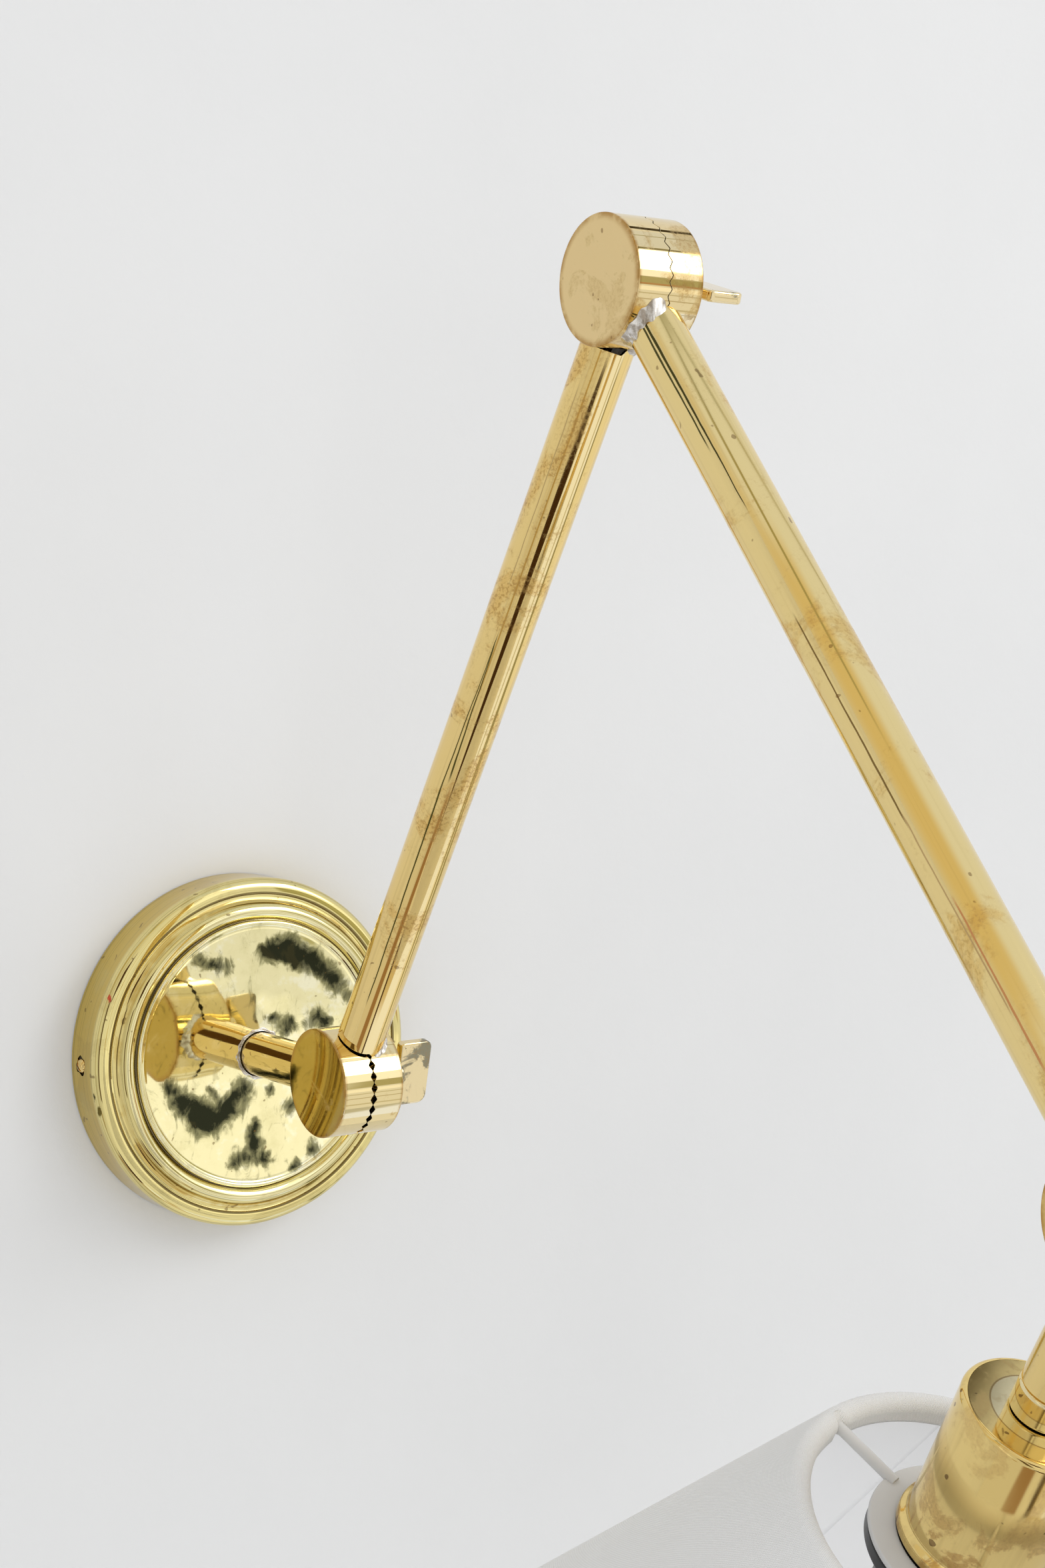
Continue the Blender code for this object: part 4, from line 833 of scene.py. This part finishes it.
def lemon_brass(name):
    """Lacquered spun brass: pale lemon disc with dark grey-green places where the lacquer lifted.

    Each place is a cone, one at its centre and nothing at its radius; noise frays the sum, and its
    thickest part is darker. Beyond the disc the rings are browner, with a brown cove, and the
    groove and the step are painted dark. The side wall is painted darker gold as shade, and a
    pale band on the bead is a painted highlight.
    """
    made, w, shader = material(name)
    where = local(w, ON_WALL)
    parts = w.add("SeparateXYZ", {0: where}).outputs
    out = w.from_axis(parts)
    marks = w.add("Group", {"Vector": where, "Wave Scale": 60.0}, node_tree=POLISH)
    spots = w.add("Group", {"Vector": where, "Patch Scale": 44.0, "Cover": 0.5}, node_tree=TARNISH)
    drift = w.add("TexNoise", {"Vector": where, "Scale": 120.0, "Detail": 3.0,
                               "Roughness": 0.55}).outputs["Color"]
    drift = w.add("VectorMath", {0: drift, 1: (0.5, 0.5, 0.5)}, operation="SUBTRACT").outputs[0]
    bent = w.add("VectorMath", {0: drift, 1: (0.008, 0.008, 0.0), 2: where},
                 operation="MULTIPLY_ADD").outputs[0]
    lifted = 0.0
    for right, up, radius in LIFTED:
        off = w.add("VectorMath", {0: bent, 1: (right * MM, up * MM, DISC_RISE)},
                    operation="DISTANCE").outputs["Value"]
        lifted = w.plus(lifted, w.spread(off, radius * MM, 0.0))
    fray = w.noise(w.add("Mapping", {"Vector": where, "Rotation": (0, 0, 0.6),
                                     "Scale": (1.0, 0.55, 1.0)}).outputs[0],
                   190.0, 4.0, 0.62, 1.6)
    lifted = w.plus(lifted, w.times(fray, 1.7))
    deep, lifted = w.spread(lifted, 1.30, 2.05), w.spread(lifted, 0.92, 1.45)
    rings = w.noise(w.add("CombineXYZ", {"X": out}).outputs[0], 2600.0, 3.0, 0.65)
    beyond = w.spread(out, 0.0480, 0.0500)
    # painted shade: the canopy's side wall is painted darker gold than its disc, as it looks in shade
    side = w.spread(parts["Z"], 0.0160, 0.0140)
    colour = w.blend(beyond, (0.88, 0.80, 0.46, 1), (0.82, 0.70, 0.31, 1))
    colour = w.blend(side, colour, (0.67, 0.50, 0.13, 1))
    haze = w.noise(where, 70.0, 4.0, 0.65)
    colour = w.blend(w.spread(haze, 0.50, 0.72, 0.0, 0.34), colour, (0.62, 0.56, 0.26, 1))
    inside = w.math("SUBTRACT", 1.0, beyond)
    colour = w.blend(w.times(w.spread(haze, 0.47, 0.34, 0.0, 0.8), inside), colour, (0.95, 0.90, 0.66, 1))
    # painted highlight: a pale cream band on the bead's round, where it catches the light
    bead = w.band(out, 0.0500, 0.0508, 0.0526, 0.0534)
    colour = w.blend(w.times(bead, 0.6), colour, (0.95, 0.88, 0.56, 1))
    cove = w.band(out, 0.0540, 0.0546, 0.0562, 0.0568)
    colour = w.blend(w.times(cove, w.spread(haze, 0.40, 0.56, 0.25, 0.8)), colour, (0.60, 0.42, 0.11, 1))
    spun = w.noise(w.add("CombineXYZ", {"X": out, "Y": parts["Z"]}).outputs[0], 1500.0, 2.0, 0.6)
    colour = w.blend(w.times(w.spread(spun, 0.52, 0.66), w.times(beyond, 0.55)), colour,
                     (0.30, 0.24, 0.07, 1))
    lifted = w.times(lifted, inside)
    colour = w.blend(w.times(lifted, 0.80), colour, (0.15, 0.145, 0.055, 1))
    colour = w.blend(w.times(deep, inside), colour, (0.026, 0.028, 0.015, 1))
    stain = w.times(spots.outputs["Patches"], w.plus(w.times(beyond, 0.16), 0.04))
    colour = w.blend(stain, colour, (0.38, 0.27, 0.08, 1))
    for place, reach, tall, tone in SPECKS_ON_SHOULDER:
        gap = w.add("VectorMath", {0: where, 1: tuple(v * MM for v in place)},
                    operation="SUBTRACT").outputs[0]
        off = w.add("VectorMath", {0: w.stretch(gap, (1.0, 1 / tall, 0.7))},
                    operation="LENGTH").outputs["Value"]
        off = w.plus(off, w.times(w.noise(where, 700.0), 0.0010))
        colour = w.blend(w.spread(off, (reach + 0.6) * MM, (reach + 0.2) * MM), colour, (*tone, 1))
    # the groove and the step are painted dark brown, and made rougher
    groove = w.band(out, 0.04835, 0.04865, 0.0490, 0.0493)
    step = w.band(out, 0.0573, 0.0576, 0.0583, 0.0586)
    dark_groove_and_step = w.math("MAXIMUM", w.times(groove, 0.9), w.times(step, 0.75))
    colour = w.blend(dark_groove_and_step, colour, (0.09, 0.055, 0.02, 1))
    colour = w.blend(w.times(spots.outputs["Specks"], 0.6), colour, (0.17, 0.10, 0.03, 1))
    w.feed(shader.inputs["Base Color"], colour)
    w.feed(shader.inputs["Metallic"], 1.0)
    rough = w.plus(w.times(lifted, 0.12), w.times(dark_groove_and_step, 0.25))
    w.feed(shader.inputs["Roughness"], w.plus(rough, 0.04))
    normal = w.bump(marks.outputs["Waves"], 9e-6)
    normal = w.bump(rings, 0.35e-6, normal)
    w.feed(shader.inputs["Normal"], normal)
    return made


def bare_metal(name, tint, dark, rough, scale, depth, share=0.5):
    """Unpolished metal such as solder or zinc plate: dull, cloudy and finely pitted."""
    made, w, shader = material(name)
    where = local(w, None)
    cloud = w.noise(where, scale, 4.0, 0.6, 0.4)
    grain = w.noise(where, scale * 9, 3.0, 0.6)
    worn = w.times(w.spread(cloud, 0.40, 0.68), share)
    w.feed(shader.inputs["Base Color"], w.blend(worn, (*tint, 1), (*dark, 1)))
    w.feed(shader.inputs["Metallic"], 1.0)
    w.feed(shader.inputs["Roughness"], w.plus(w.spread(cloud, 0.3, 0.7, -0.06, 0.16), rough))
    w.feed(shader.inputs["Normal"], w.bump(grain, depth * 1e-6, w.bump(cloud, depth * 3e-6)))
    return made


def moulded(name, tint, shade, rough, scale=40.0, depth=6.0, coat=0.0):
    """Enamel, resin or porcelain: even colour with a slight cloud, dust and soft unevenness."""
    made, w, shader = material(name)
    where = local(w, None)
    cloud = w.noise(where, scale, 3.0, 0.6)
    fine = w.noise(where, scale * 30, 2.0)
    w.feed(shader.inputs["Base Color"], w.blend(w.spread(cloud, 0.35, 0.7), (*tint, 1), (*shade, 1)))
    w.feed(shader.inputs["Roughness"], w.plus(w.spread(fine, 0.3, 0.7, -0.03, 0.05), rough))
    w.feed(shader.inputs["Coat Weight"], coat)
    w.feed(shader.inputs["Normal"], w.bump(fine, depth * 0.2e-6, w.bump(cloud, depth * 1e-6)))
    return made


def shade_cloth(name):
    """White woven cotton on the shade: weave in its own map, slubs, and a little sheen."""
    made, w, shader = material(name)
    on_cloth = w.add("UVMap", uv_map="cloth").outputs["UV"]
    weave = w.add("Group", {"Vector": on_cloth, "Threads": 2300.0}, node_tree=WEAVE)
    cloud = w.noise(local(w, None), 28.0, 3.0, 0.6)
    thread = w.spread(weave.outputs["Height"], 0.0, 2.0)
    colour = w.blend(thread, (0.76, 0.755, 0.74, 1), (0.89, 0.89, 0.875, 1))
    colour = w.blend(w.times(w.spread(cloud, 0.4, 0.7), 0.30), colour, (0.80, 0.79, 0.765, 1))
    colour = w.blend(w.times(w.spread(weave.outputs["Slub"], 0.55, 0.75), 0.12), colour,
                     (0.93, 0.93, 0.92, 1))
    w.feed(shader.inputs["Base Color"], colour)
    w.feed(shader.inputs["Roughness"], 0.9)
    shader.inputs["Sheen Weight"].default_value = 0.12
    shader.inputs["Sheen Roughness"].default_value = 0.5
    normal = w.bump(weave.outputs["Height"], 60e-6)
    w.feed(shader.inputs["Normal"], w.bump(weave.outputs["Slub"], 14e-6, normal))
    return made


def lining_finish(name):
    """Smooth white lining with a faint fibre cloud and a faint painted glow for daylight through the cloth;
    its lapped edge is a thin grey line.
    """
    made, w, shader = material(name)
    where = local(w, HEAD)
    cloud = w.noise(where, 24.0, 3.0, 0.6)
    fine = w.noise(where, 700.0, 3.0, 0.6)
    w.feed(shader.inputs["Base Color"], w.blend(w.spread(cloud, 0.35, 0.7), (0.92, 0.92, 0.925, 1),
                                                (0.90, 0.90, 0.90, 1)))
    # painted light: a faint white glow standing in for daylight shining through the cloth
    shader.inputs["Emission Color"].default_value = (0.96, 0.97, 1.0, 1)
    shader.inputs["Emission Strength"].default_value = 0.10
    w.feed(shader.inputs["Roughness"], w.plus(w.spread(fine, 0.3, 0.7, -0.05, 0.05), 0.62))
    w.feed(shader.inputs["Normal"], w.bump(fine, 4e-6))
    return made


def holder_brass(name):
    """Old brass of the lampholder cap: rust and brown blotches that thicken towards its foot."""
    made, w, shader = material(name)
    where = local(w, HEAD)
    parts = w.add("SeparateXYZ", {0: where}).outputs
    spots = w.add("Group", {"Vector": where, "Patch Scale": 70.0, "Cover": 0.55}, node_tree=TARNISH)
    marks = w.add("Group", {"Vector": where, "Wave Scale": 70.0}, node_tree=POLISH)
    drawn = w.noise(w.stretch(where, (1.0, 1.0, 0.12)), 240.0, 3.0, 0.6)
    foot = w.spread(parts["Z"], 0.074, 0.100)
    old = w.times(spots.outputs["Patches"], w.plus(0.22, w.times(foot, 0.45)))
    out = w.from_axis(parts)
    # a pale disc painted on the cap's flat top round the stem, edged by a brown line
    pale_top_disc = w.times(w.spread(out, 0.0128, 0.0124), w.spread(parts["Z"], 0.0612, 0.0606))
    line = w.times(pale_top_disc, w.spread(out, 0.0120, 0.0124))
    colour = w.blend(old, (0.83, 0.63, 0.25, 1), (0.48, 0.26, 0.08, 1))
    colour = w.blend(w.times(pale_top_disc, 0.8), colour, (0.84, 0.74, 0.46, 1))
    colour = w.blend(w.times(line, 0.9), colour, (0.38, 0.24, 0.07, 1))
    streak = w.times(w.spread(drawn, 0.54, 0.72), 0.25)
    colour = w.blend(streak, colour, (0.50, 0.33, 0.12, 1))
    veil = w.times(spots.outputs["Mottle"], w.plus(0.25, w.times(foot, 0.35)))
    colour = w.blend(veil, colour, (0.52, 0.33, 0.13, 1))
    colour = w.blend(w.times(spots.outputs["Specks"], 0.75), colour, (0.15, 0.07, 0.03, 1))
    w.feed(shader.inputs["Base Color"], colour)
    w.feed(shader.inputs["Metallic"], 1.0)
    dull = w.plus(w.times(old, 0.22), w.times(veil, 0.10))
    w.feed(shader.inputs["Roughness"], w.plus(w.plus(dull, w.times(streak, 0.10)), 0.085))
    normal = w.bump(marks.outputs["Waves"], 30e-6)
    w.feed(shader.inputs["Normal"], w.bump(marks.outputs["Lines"], 0.5e-6, normal))
    return made


# ---------------------------------------------------------------- the lamp
arm_brass = {
    "lower": brass("tan_brass_lower_arm", LOWER, tint=(0.88, 0.66, 0.27), aged=(0.74, 0.46, 0.13), patch=30.0,
                   cover=0.60, patches=0.60, mottle=0.6, streaks=0.2, painted_reflection_lines=(
                       # painted reflections: dark and brown lines the lower arm's polish shows, painted at
                       # fixed turns
                       (-144.5, -149.5, 0.040, 0.125, 1.0, 1.6, 0.7, (0.10, 0.085, 0.02)),
                       (-149.5, -143.8, 0.125, 0.180, 1.1, 0.5, 0.7, (0.10, 0.085, 0.02)),
                       (-138.0, -143.2, 0.130, 0.178, 1.5, 0.5, 0.7, (0.10, 0.085, 0.02)),
                       (-159.0, -159.0, 0.200, 0.262, 0.4, 0.4, 1.2, (0.52, 0.36, 0.15)))),
    "upper": brass("tan_brass_upper_arm", UPPER, tint=(0.87, 0.68, 0.30), aged=(0.74, 0.48, 0.14), patch=26.0,
                   cover=0.56, patches=0.6, mottle=0.35, rough=0.08, streaks=0.12, painted_reflection_lines=(
                       # painted reflections: dark and brown lines the upper arm's polish shows, painted at
                       # fixed turns
                       (160.5, 158.8, 0.018, 0.064, 1.9, 1.0, 0.8, (0.085, 0.075, 0.025)),
                       (152.8, 149.2, 0.018, 0.086, 2.4, 0.6, 0.8, (0.075, 0.065, 0.02)),
                       (166.5, 166.2, 0.124, 0.186, 1.0, 1.4, 1.0, (0.24, 0.15, 0.05)),
                       (164.8, 162.0, 0.186, 0.240, 0.5, 0.5, 1.8, (0.55, 0.37, 0.16)),
                       (155.5, 157.0, 0.212, 0.256, 0.8, 1.3, 1.8, (0.66, 0.32, 0.13)))),
    "stub": brass("tan_brass_stub", STUB, cover=0.3),
    "stem": brass("tan_brass_stem", HEAD, cover=0.4, rough=0.09)}
cup_brass = {name: brass("tan_brass_" + name, Place(pivot, (1, 0, 0), (0, 0, 1)), tint=tint, patch=60.0,
                         cover=cover,
                         aged=(0.66, 0.46, 0.18), patches=0.60, mottle=0.40, rough=0.035, rim=0.85,
                         wave_depth=9.0,
                         face=face)
             for name, pivot, tint, face, cover in (
                 # the wall knuckle's disc colour is a painted reflection: dark olive brown for the darker
                 # room that face mirrors
                 ("wall_knuckle", FIRST, (0.84, 0.69, 0.37), (0.54, 0.37, 0.075), 0.30),
                 ("elbow_knuckle", SECOND, (0.84, 0.68, 0.37), (0.82, 0.62, 0.31), 0.60),
                 ("head_knuckle", THIRD, (0.83, 0.66, 0.34), (0.78, 0.56, 0.22), 0.40))}
key_brass = brass("tan_brass_keys", None, tint=(0.86, 0.71, 0.42), aged=(0.15, 0.16, 0.13), patch=62.0,
                  cover=0.62, patches=0.80, mottle=0.25, rough=0.05, wave=120.0, wave_depth=6.0)
small_brass = brass("tan_brass_small", None, patch=160.0)
spun_brass = lemon_brass("lemon_brass_canopy")
cap_brass = holder_brass("tan_brass_holder")
silver = bare_metal("solder_bright", (0.80, 0.77, 0.73), (0.30, 0.24, 0.18), 0.24, 330.0, 4.0, 0.85)
zinc = bare_metal("zinc_plate", (0.62, 0.62, 0.63), (0.50, 0.50, 0.53), 0.34, 90.0, 2.0)
black = moulded("black_resin_gloss", (0.006, 0.006, 0.006), (0.012, 0.011, 0.011), 0.34, coat=0.05)
white = moulded("white_enamel_matt", (0.66, 0.655, 0.635), (0.62, 0.615, 0.60), 0.45, depth=4.0)
ceramic = moulded("glazed_porcelain", (0.84, 0.82, 0.77), (0.80, 0.77, 0.70), 0.20, coat=0.5)
sleeve = moulded("lead_sleeve", (0.78, 0.78, 0.76), (0.72, 0.72, 0.70), 0.45, 60.0)
cloth = shade_cloth("woven_cotton")
smooth_lining = lining_finish("smooth_lining_film")

canopy(spun_brass)
for side, word in ((-1, "left"), (1, "right")):
    round_screw("side_screw", SCREW_PLACES[side], word, 6.6, small_brass, "canopy_screw_" + word,
                *((0.80, -1.3) if side < 0 else (1.0, 0.0)))

knuckle("wall_knuckle_left", FIRST, -1, "wall", cup_brass["wall_knuckle"], False, 3)
knuckle("wall_knuckle_right", FIRST, 1, "lower_arm", cup_brass["wall_knuckle"], False, 4)
knuckle("elbow_knuckle_right", SECOND, 1, "lower_arm", cup_brass["elbow_knuckle"], True, 5)
knuckle("elbow_knuckle_left", SECOND, -1, "upper_arm", cup_brass["elbow_knuckle"], True, 5)
knuckle("head_knuckle_left", THIRD, -1, "upper_arm", cup_brass["head_knuckle"], True, 6)
knuckle("head_knuckle_right", THIRD, 1, "head", cup_brass["head_knuckle"], True, 6)
for name, pivot in (("wall", FIRST), ("elbow", SECOND), ("head", THIRD)):
    wing_key(name + "_key", pivot, KEY_TURNS[name], key_brass)

tube("stub_pipe", STUB, (0.0, -1, 0.1, 1.0, 0.4), 63.1 * MM, "wall", arm_brass["stub"], "stub_tube")
tube("lower_pipe", LOWER, (0.0, 1, 0.1, 1.4, 0.5), (ARM, 1, 0.1, 2.0, 0.2), "lower_arm", arm_brass["lower"],
     "lower_arm_tube")
tube("upper_pipe", UPPER, (0.0, -1, 0.1, 1.2, 0.4), (ARM, -1, 0.1, 1.2, 0.4), "upper_arm", arm_brass["upper"],
     "upper_arm_tube")
tube("stem_pipe", HEAD, (0.0, 1, 0.1, 1.2, 0.4), 50.4 * MM, "head", arm_brass["stem"], "head_stem")

solder("stub_bead", STUB, -1, "wall", "stub_knuckle_solder", silver, 1.9, 2.2, 0.0, 0.25, 51)
solder("lower_root_bead", LOWER, 1, "lower_arm", "lower_arm_root_solder", silver, 1.5, 1.4, 0.5, 0.8, 52,
       76.0)
solder("lower_end_bead", LOWER_TOP, 1, "lower_arm", "lower_arm_end_solder", silver, 1.9, 2.2, -0.3, 0.2, 53)
solder("upper_root_bead", UPPER, -1, "upper_arm", "upper_arm_root_solder", silver, 2.2, 2.7, 0.8, 0.55, 54)
solder("upper_end_bead", UPPER_END, -1, "upper_arm", "upper_arm_end_solder", silver, 1.8, 2.1, 0.2, 0.2, 55)
solder("stem_bead", HEAD, 1, "head", "head_stem_solder", silver, 1.8, 2.1, 0.0, 0.2, 56)
solder_ring("canopy_bead", silver)

turned("stem_ring", [(4.9, 50.7), (8.05, 50.7), (8.05, 58.5), (4.9, 58.5)], (0.2, 0.9, 0.7, 0.2), HEAD,
       "head",
       cap_brass, ["stem_collar"], steps=128)
holder_cap(cap_brass)
turned("skirt_ring", [(17.75, 102.3), (19.3, 102.3), (19.3, 124.0), (17.75, 124.0)], (0.3, 0.3, 0.7, 0.7),
       HEAD,
       "head", black, ["lampholder_skirt"])
turned("clamp_ring", [(19.65, 104.4), (26.4, 104.4), (26.4, 107.6), (24.6, 109.7), (19.65, 109.7)],
       (0.2, 0.6, 0.9, 1.2, 0.3), HEAD, "head", black, ["shade_ring"])
screw_shell(small_brass)
shade_fitter(white)
cover = shade_cover(cloth)
lining = shade_lining(smooth_lining)

for name, finish in {
        "wall_bracket": zinc, "earth_screw": small_brass, "terminal_block": black, "terminal_screw_1": zinc,
        "terminal_screw_2": zinc, "terminal_screw_3": zinc, "lead_wall": sleeve, "lead_lower_arm": sleeve,
        "lead_upper_arm": sleeve, "lead_head": sleeve, "stem_bush": black, "threaded_nipple": small_brass,
        "cap_nut": small_brass, "lampholder_core": ceramic, "centre_contact": small_brass,
        "shade_bottom_wire": zinc}.items():
    for slot in bpy.data.objects[name].material_slots:
        slot.material = finish


# ---------------------------------------------------------------- wall, floor, light, camera
def plane(name, centre, across, up, finish):
    """Flat stage sheet from its centre and two half sides; it faces their cross product."""
    c, a, b = (np.asarray(v, float) for v in (centre, across, up))
    mesh = bpy.data.meshes.new(name)
    mesh.from_pydata([(c - a - b).tolist(), (c + a - b).tolist(), (c + a + b).tolist(), (c - a + b).tolist()],
                     [], [(0, 1, 2, 3)])
    mesh.materials.append(finish)
    sheet = bpy.data.objects.new(name, mesh)
    bpy.context.scene.collection.objects.link(sheet)
    return sheet


def stage_finish(name, tint, see_through):
    """Matt paint with a faint unevenness; from behind, the sheet isn't seen."""
    made, w, shader = material(name)
    where = w.add("TexCoord").outputs["Object"]
    cloud = w.noise(where, 5.0, 4.0, 0.6)
    fine = w.noise(where, 160.0, 3.0, 0.6)
    low = tuple(0.975 * t for t in tint)
    w.feed(shader.inputs["Base Color"], w.blend(w.spread(cloud, 0.3, 0.7), (*tint, 1), (*low, 1)))
    w.feed(shader.inputs["Roughness"], 0.9)
    shader.inputs["Specular IOR Level"].default_value = 0.1
    w.feed(shader.inputs["Normal"], w.bump(fine, 150e-6))
    if see_through:
        back = w.add("NewGeometry").outputs["Backfacing"]
        w.feed(shader.inputs["Alpha"], w.math("SUBTRACT", 1.0, back))
    return made


def lamp(name, place, target, size, power, tint=(1, 1, 1)):
    data = bpy.data.lights.new(name, "AREA")
    data.shape, data.size, data.size_y = "RECTANGLE", *size
    data.energy, data.color = power, tint
    light = bpy.data.objects.new(name, data)
    light.location = place
    light.rotation_euler = (Vector(target) - Vector(place)).to_track_quat("-Z", "Y").to_euler()
    bpy.context.scene.collection.objects.link(light)
    return light


def room_world():
    """Even pale light for matt surfaces; polished metal sees a plain room.

    The room is drawn by azimuth (0 straight in front of the wall, + to the right) and
    elevation in degrees: each feature is a box in these two with soft sides. Posts are drawn
    about an arm's axis instead, by the turn about it and the cosine of the angle to it, so
    that they run along the arm in its polish.
    """
    world = bpy.data.worlds.new("room")
    world.use_nodes = True
    w = Wiring(world.node_tree)
    ground = world.node_tree.nodes["Background"]
    aim = w.add("TexCoord").outputs["Generated"]
    parts = w.add("SeparateXYZ", {0: aim}).outputs
    az = w.math("DEGREES", w.math("ARCTAN2", parts["X"], w.times(parts["Y"], -1.0)))
    el = w.math("DEGREES", w.math("ARCSINE", parts["Z"]))

    def patch(left, right, low, high, soft=1.5):
        return w.times(w.band(az, left, left + soft, right - soft, right),
                       w.band(el, low, low + soft, high - soft, high))

    def about(place, zero):
        start = math.radians(zero)
        across = [tuple(math.cos(start + t) * place.axes[0] + math.sin(start + t) * place.axes[1])
                  for t in (0, math.pi / 2)]
        x, y, z = (w.add("VectorMath", {0: aim, 1: axis}, operation="DOT_PRODUCT").outputs["Value"]
                   for axis in (*across, tuple(place.axes[2])))
        return w.plus(w.math("DEGREES", w.math("ARCTAN2", y, x)), zero), z

    colour = w.blend(w.spread(az, -20.0, -60.0), (0.90, 0.90, 0.88, 1), (0.70, 0.69, 0.66, 1))
    colour = w.blend(w.times(w.spread(el, 10.0, 34.0), w.spread(az, 20.0, -60.0)), colour,
                     (0.72, 0.67, 0.56, 1))
    for left, right, low, high, soft, tone in ROOM:
        colour = w.blend(patch(left, right, low, high, soft), colour, (*tone, 1))
    for place, zero, posts in ((LOWER, -80.0, LOW_POSTS), (UPPER, 110.0, HIGH_POSTS)):
        turn, along = about(place, zero)
        for *form, tone in posts:
            colour = w.blend(w.post(turn, along, *form, 0.008), colour, (*tone, 1))
    path = w.add("LightPath").outputs
    matt = w.math("MAXIMUM", path["Is Diffuse Ray"], path["Is Camera Ray"])
    w.feed(ground.inputs["Color"], w.blend(matt, colour, (0.78, 0.78, 0.79, 1)))
    ground.inputs["Strength"].default_value = 1.0
    bpy.context.scene.world = world


# What the room holds: azimuth from and to, elevation from and to, softness in degrees, colour.
ROOM = (
    (-52, -38, -24, 18, 2.0, (0.14, 0.10, 0.05)),        # door post on the left
    (-80, -66, -14, 26, 2.0, (0.98, 0.97, 0.92)),        # pale wall beside it
    (96, 106, 16, 75, 2.0, (0.07, 0.055, 0.03)),         # dark corner beyond the wall's right end
    (74, 78, 14, 75, 2.0, (0.45, 0.40, 0.26)),
    (-34, -14, 12, 28, 1.5, (0.09, 0.05, 0.022)),        # beam overhead, mirrored in the stub
    (14, 62, 3, 46, 1.5, (1.25, 1.26, 1.28)),            # window wall, garden and sill
    (22, 56, 38, 42, 1.5, (0.26, 0.24, 0.14)),
    (30, 60, -8, 4, 1.0, (0.50, 0.47, 0.27)),
    (34, 60, -7.5, -4.5, 0.8, (0.54, 0.33, 0.18)),
    (14, 62, -15, -9, 0.8, (1.15, 1.14, 1.10)),
    (30, 62, -19.5, -17.5, 0.7, (0.62, 0.58, 0.46)),     # edges of boards on the floor
    (28, 62, -27, -25, 0.7, (0.58, 0.52, 0.40)),
    (24, 62, -38, -35, 1.0, (0.66, 0.62, 0.50)),
)
# Posts seen along an arm: turn at either end, the ends, half widths at either end, softness, colour.
LOW_POSTS = (
    (-72, -72, -0.60, -0.30, 24, 24, 8, (1.00, 1.10, 1.45)),
    (-92, -92, -0.575, -0.50, 8, 27, 3, (0.66, 0.56, 0.36)),
    (-92, -100, -0.50, -0.44, 27, 5, 4, (0.66, 0.56, 0.36)),
    (-127, -127, -0.60, -0.50, 8, 3, 4, (0.34, 0.21, 0.11)),
    (-98, -109, -0.61, -0.53, 2.5, 2.5, 1.5, (0.07, 0.04, 0.02)),
    (-111, -114, -0.53, -0.49, 3, 4, 1.5, (0.30, 0.15, 0.07)),
    (-114, -115, -0.50, -0.37, 4, 12.5, 1.2, (0.055, 0.028, 0.012)),
    (-115, -113, -0.375, -0.33, 12.0, 5, 1.2, (0.055, 0.028, 0.012)),
    (-30, -46, -0.60, -0.33, 2.2, 2.0, 2.0, (0.34, 0.34, 0.24)),
    (-12, -43, -0.60, -0.38, 2.6, 1.6, 2.0, (0.36, 0.36, 0.26)),
    (3, -38, -0.60, -0.45, 2.6, 1.4, 2.0, (0.36, 0.36, 0.26)),
    (-58, -58, -0.50, -0.30, 1.5, 1.5, 1.5, (0.62, 0.62, 0.58)),
    (-84, -86, -0.42, -0.30, 2.5, 2.5, 2.0, (0.60, 0.46, 0.24)),
    (-150, -150, -0.46, -0.30, 2, 2, 2.5, (0.50, 0.40, 0.22)),
)
HIGH_POSTS = (
    (60, 60, -0.62, -0.24, 62, 62, 30, (0.80, 0.84, 0.93)),
    (128, 126, -0.50, -0.30, 12, 14, 36, (0.73, 0.62, 0.38)),
    (98, 114, -0.592, -0.550, 2.2, 2.8, 2.0, (0.26, 0.26, 0.14)),
    (114, 118, -0.55, -0.43, 2.8, 1.4, 3.0, (0.38, 0.35, 0.18)),
    (82, 60, -0.592, -0.550, 2.2, 2.8, 2.0, (0.26, 0.26, 0.14)),
    (60, 26, -0.55, -0.475, 2.8, 1.2, 3.0, (0.42, 0.40, 0.26)),
    (90, 90, -0.606, -0.586, 6, 10, 2.0, (0.26, 0.26, 0.14)),
)


wall_paint = stage_finish("wall_paint", (0.815, 0.82, 0.82), True)
floor_paint = stage_finish("floor_paint", (0.78, 0.78, 0.77), True)
plane("wall_sheet", (-0.65, 0.0006, 0.6), (1.55, 0, 0), (0, 0, 1.5), wall_paint)
ground_sheet = plane("floor_sheet", (0, -1.6, -0.9), (2.2, 0, 0), (0, 1.6, 0), floor_paint)
ground_sheet.visible_glossy = False
room_world()
lamp("window", (1.46, -1.87, 1.28), (0.0, -0.2, 0.1), (1.25, 1.1), 15.0, (1.0, 0.995, 0.98))
lamp("far_window", (-0.95, -1.75, -0.35), (0.1, -0.2, 0.0), (1.3, 1.3), 4.0).visible_glossy = False

view = bpy.data.objects.new("camera", bpy.data.cameras.new("camera"))
view.data.sensor_fit, view.data.sensor_width, view.data.lens = "AUTO", 36.0, 55.39
view.data.clip_start = 0.02
view.location = (-0.4203, -0.7789, 0.1561)
aim = Euler((math.radians(90 - 3.88), 0.0, math.radians(-35.285))).to_matrix()
view.rotation_euler = (aim @ Matrix.Rotation(math.radians(0.15), 3, "Z")).to_euler()
bpy.context.scene.collection.objects.link(view)
bpy.context.scene.camera = view
bpy.context.scene.view_settings.view_transform = "Standard"
